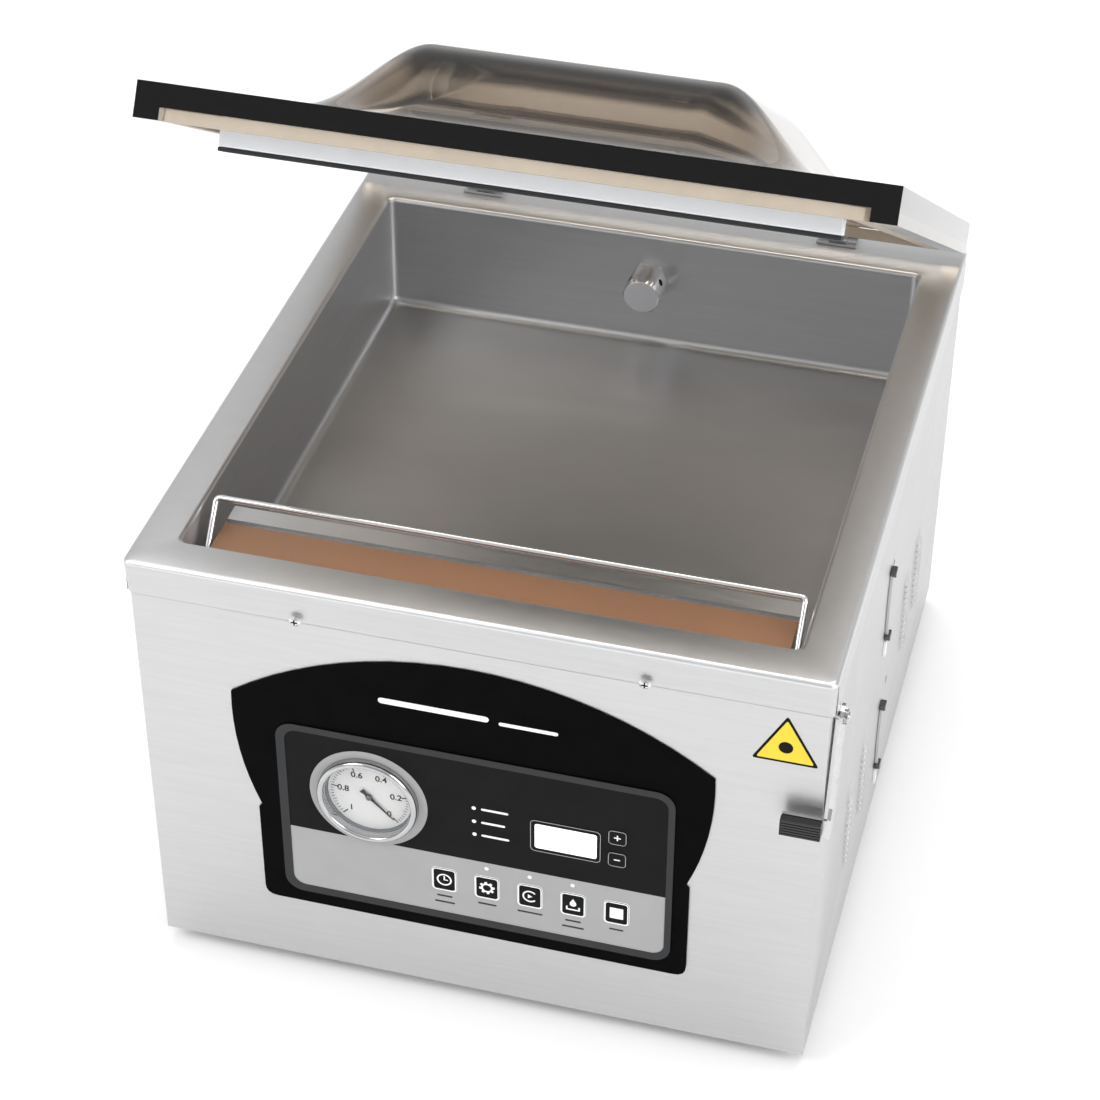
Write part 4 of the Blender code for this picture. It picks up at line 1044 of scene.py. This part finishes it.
def inlet_pins():
    low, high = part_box("power_inlet")
    x, z = (low.x + high.x) / 2, (low.z + high.z) / 2
    pins = [box_shape((x + dx - 0.002, high.y - 0.0175, z + dz - 0.001),
                      (x + dx + 0.002, high.y - 0.003, z + dz + 0.001))
            for dx, dz in ((-0.007, -0.002), (0.007, -0.002), (0, 0.004))]
    piece("inlet_pins", merged(pins), "housing", "chrome")


CARRIED_OVER = {
    "front_panel": "panel_steel", "rear_panel": "panel_steel", "base_plate": "panel_steel",
    "fascia_plate": "fascia_black", "keypad_membrane": "print_border",
    "gauge_case": "casting", "gauge_dial": "dial_white", "gauge_glass": "gauge_glass",
    "gauge_needle": "print_black", "deck_screw_left": "fitting_steel",
    "deck_screw_right": "fitting_steel", "seal_bar": "aluminium",
    "lift_piston_left": "chrome", "lift_piston_right": "chrome",
    "lift_cylinder_left": "aluminium", "lift_cylinder_right": "aluminium",
    "lid_gasket": "silicone",
    "hinge_base_left": "fitting_steel", "hinge_base_right": "fitting_steel",
    "hinge_leaf_left": "fitting_steel", "hinge_leaf_right": "fitting_steel",
    "lever_arm": "arm_steel", "vacuum_pump": "casting", "cooling_fan": "black_plastic",
    "transformer": "casting", "solenoid_valve": "aluminium", "vacuum_hose": "black_rubber",
    "circuit_board": "board", "power_inlet": "black_plastic", "rocker_frame": "black_plastic",
    "power_rocker": "black_plastic", "foot_front_left": "black_rubber",
    "foot_front_right": "black_rubber", "foot_rear_left": "black_rubber",
    "foot_rear_right": "black_rubber",
}
SOFT_EDGES = {"front_panel": 0.0006, "rear_panel": 0.0006, "hinge_base_left": 0.0003,
              "hinge_base_right": 0.0003, "hinge_leaf_left": 0.0003, "hinge_leaf_right": 0.0003,
              "lever_arm": 0.0004, "seal_bar": 0.0004, "lid_gasket": 0.0008,
              "power_inlet": 0.0004, "rocker_frame": 0.0004, "power_rocker": 0.0004}


def carried_over():
    for node, finish in CARRIED_OVER.items():
        recolour(node, finish)
    for node, width in SOFT_EDGES.items():
        bevelled(frame["nodes"][node], width, 2)


# Camera, floor and light

def stage():
    bpy.ops.mesh.primitive_plane_add(size=14, location=(0, 0, 0))
    floor = bpy.context.active_object
    floor.name = "floor"
    floor.data.materials.append(surface("floor", (0.96, 0.96, 0.96), 0.9, 0.0, 0.01, 0.05))


def area_light(name, place, target, size, power):
    data = bpy.data.lights.new(name, "AREA")
    data.shape = "RECTANGLE"
    data.size, data.size_y = size
    data.energy = power
    light = bpy.data.objects.new(name, data)
    light.location = place
    light.rotation_euler = (Vector(place) - Vector(target)).to_track_quat("Z", "Y").to_euler()
    bpy.context.scene.collection.objects.link(light)


def lights():
    world = bpy.data.worlds.new("studio")
    world.use_nodes = True
    nodes, links = world.node_tree.nodes, world.node_tree.links
    background = nodes["Background"]
    background.inputs["Strength"].default_value = 1.0
    place, parts = nodes.new("ShaderNodeTexCoord"), nodes.new("ShaderNodeSeparateXYZ")
    ramp = nodes.new("ShaderNodeValToRGB")
    stops = ((0.0, 0.95), (0.08, 0.98), (0.30, 0.62), (0.60, 0.45), (0.85, 0.80), (1.0, 1.0))
    ramp.color_ramp.elements[0].position, ramp.color_ramp.elements[1].position = 0.0, 1.0
    for position, value in stops[1:-1]:
        ramp.color_ramp.elements.new(position)
    for element, (_, value) in zip(ramp.color_ramp.elements, stops):
        element.color = (value, value, value, 1)
    links.new(place.outputs["Generated"], parts.inputs["Vector"])
    links.new(parts.outputs["Z"], ramp.inputs["Fac"])
    links.new(ramp.outputs["Color"], background.inputs["Color"])
    bpy.context.scene.world = world
    middle = (0, 0, 0.2)
    area_light("key_left", (-1.9, -1.6, 2.3), middle, (1.6, 1.6), 45)
    area_light("fill_right", (2.2, -1.2, 1.6), middle, (1.4, 1.8), 30)
    area_light("top", (0.1, 0.5, 2.6), middle, (1.8, 1.2), 30)
    bpy.context.scene.view_settings.view_transform = "Standard"


def camera():
    """The viewpoint: 15 degrees round to the right and 38 degrees up."""
    azimuth, elevation, roll = (math.radians(a) for a in (15.15, 37.98, 0.21))
    place = at(0.3721, -1.2002, 1.0324)
    back = Vector((math.sin(azimuth) * math.cos(elevation),
                   -math.cos(azimuth) * math.cos(elevation), math.sin(elevation)))
    level = Vector((math.cos(azimuth), math.sin(azimuth), 0))
    upright = back.cross(level)
    right = level * math.cos(roll) + upright * math.sin(roll)
    up = upright * math.cos(roll) - level * math.sin(roll)
    data = bpy.data.cameras.new("camera")
    data.sensor_width = 36.0
    data.lens = 93.64
    view = bpy.data.objects.new("camera", data)
    view.matrix_world = Matrix((
        (right.x, up.x, back.x, place.x), (right.y, up.y, back.y, place.y),
        (right.z, up.z, back.z, place.z), (0, 0, 0, 1)))
    bpy.context.scene.collection.objects.link(view)
    bpy.context.scene.camera = view


camera()
stage()
lights()
carried_over()
deck_skin()
lid()
panel_fields()
panel_marks()
key_faces()
display()
gauge()
corner_mark()
sealing()
suction_port()
lever()
side_skin(-1, "side_skin_left", "side_panel_left")
side_skin(1, "side_skin_right", "side_panel_right")
straps()
inlet_pins()
screw_recess_shades()
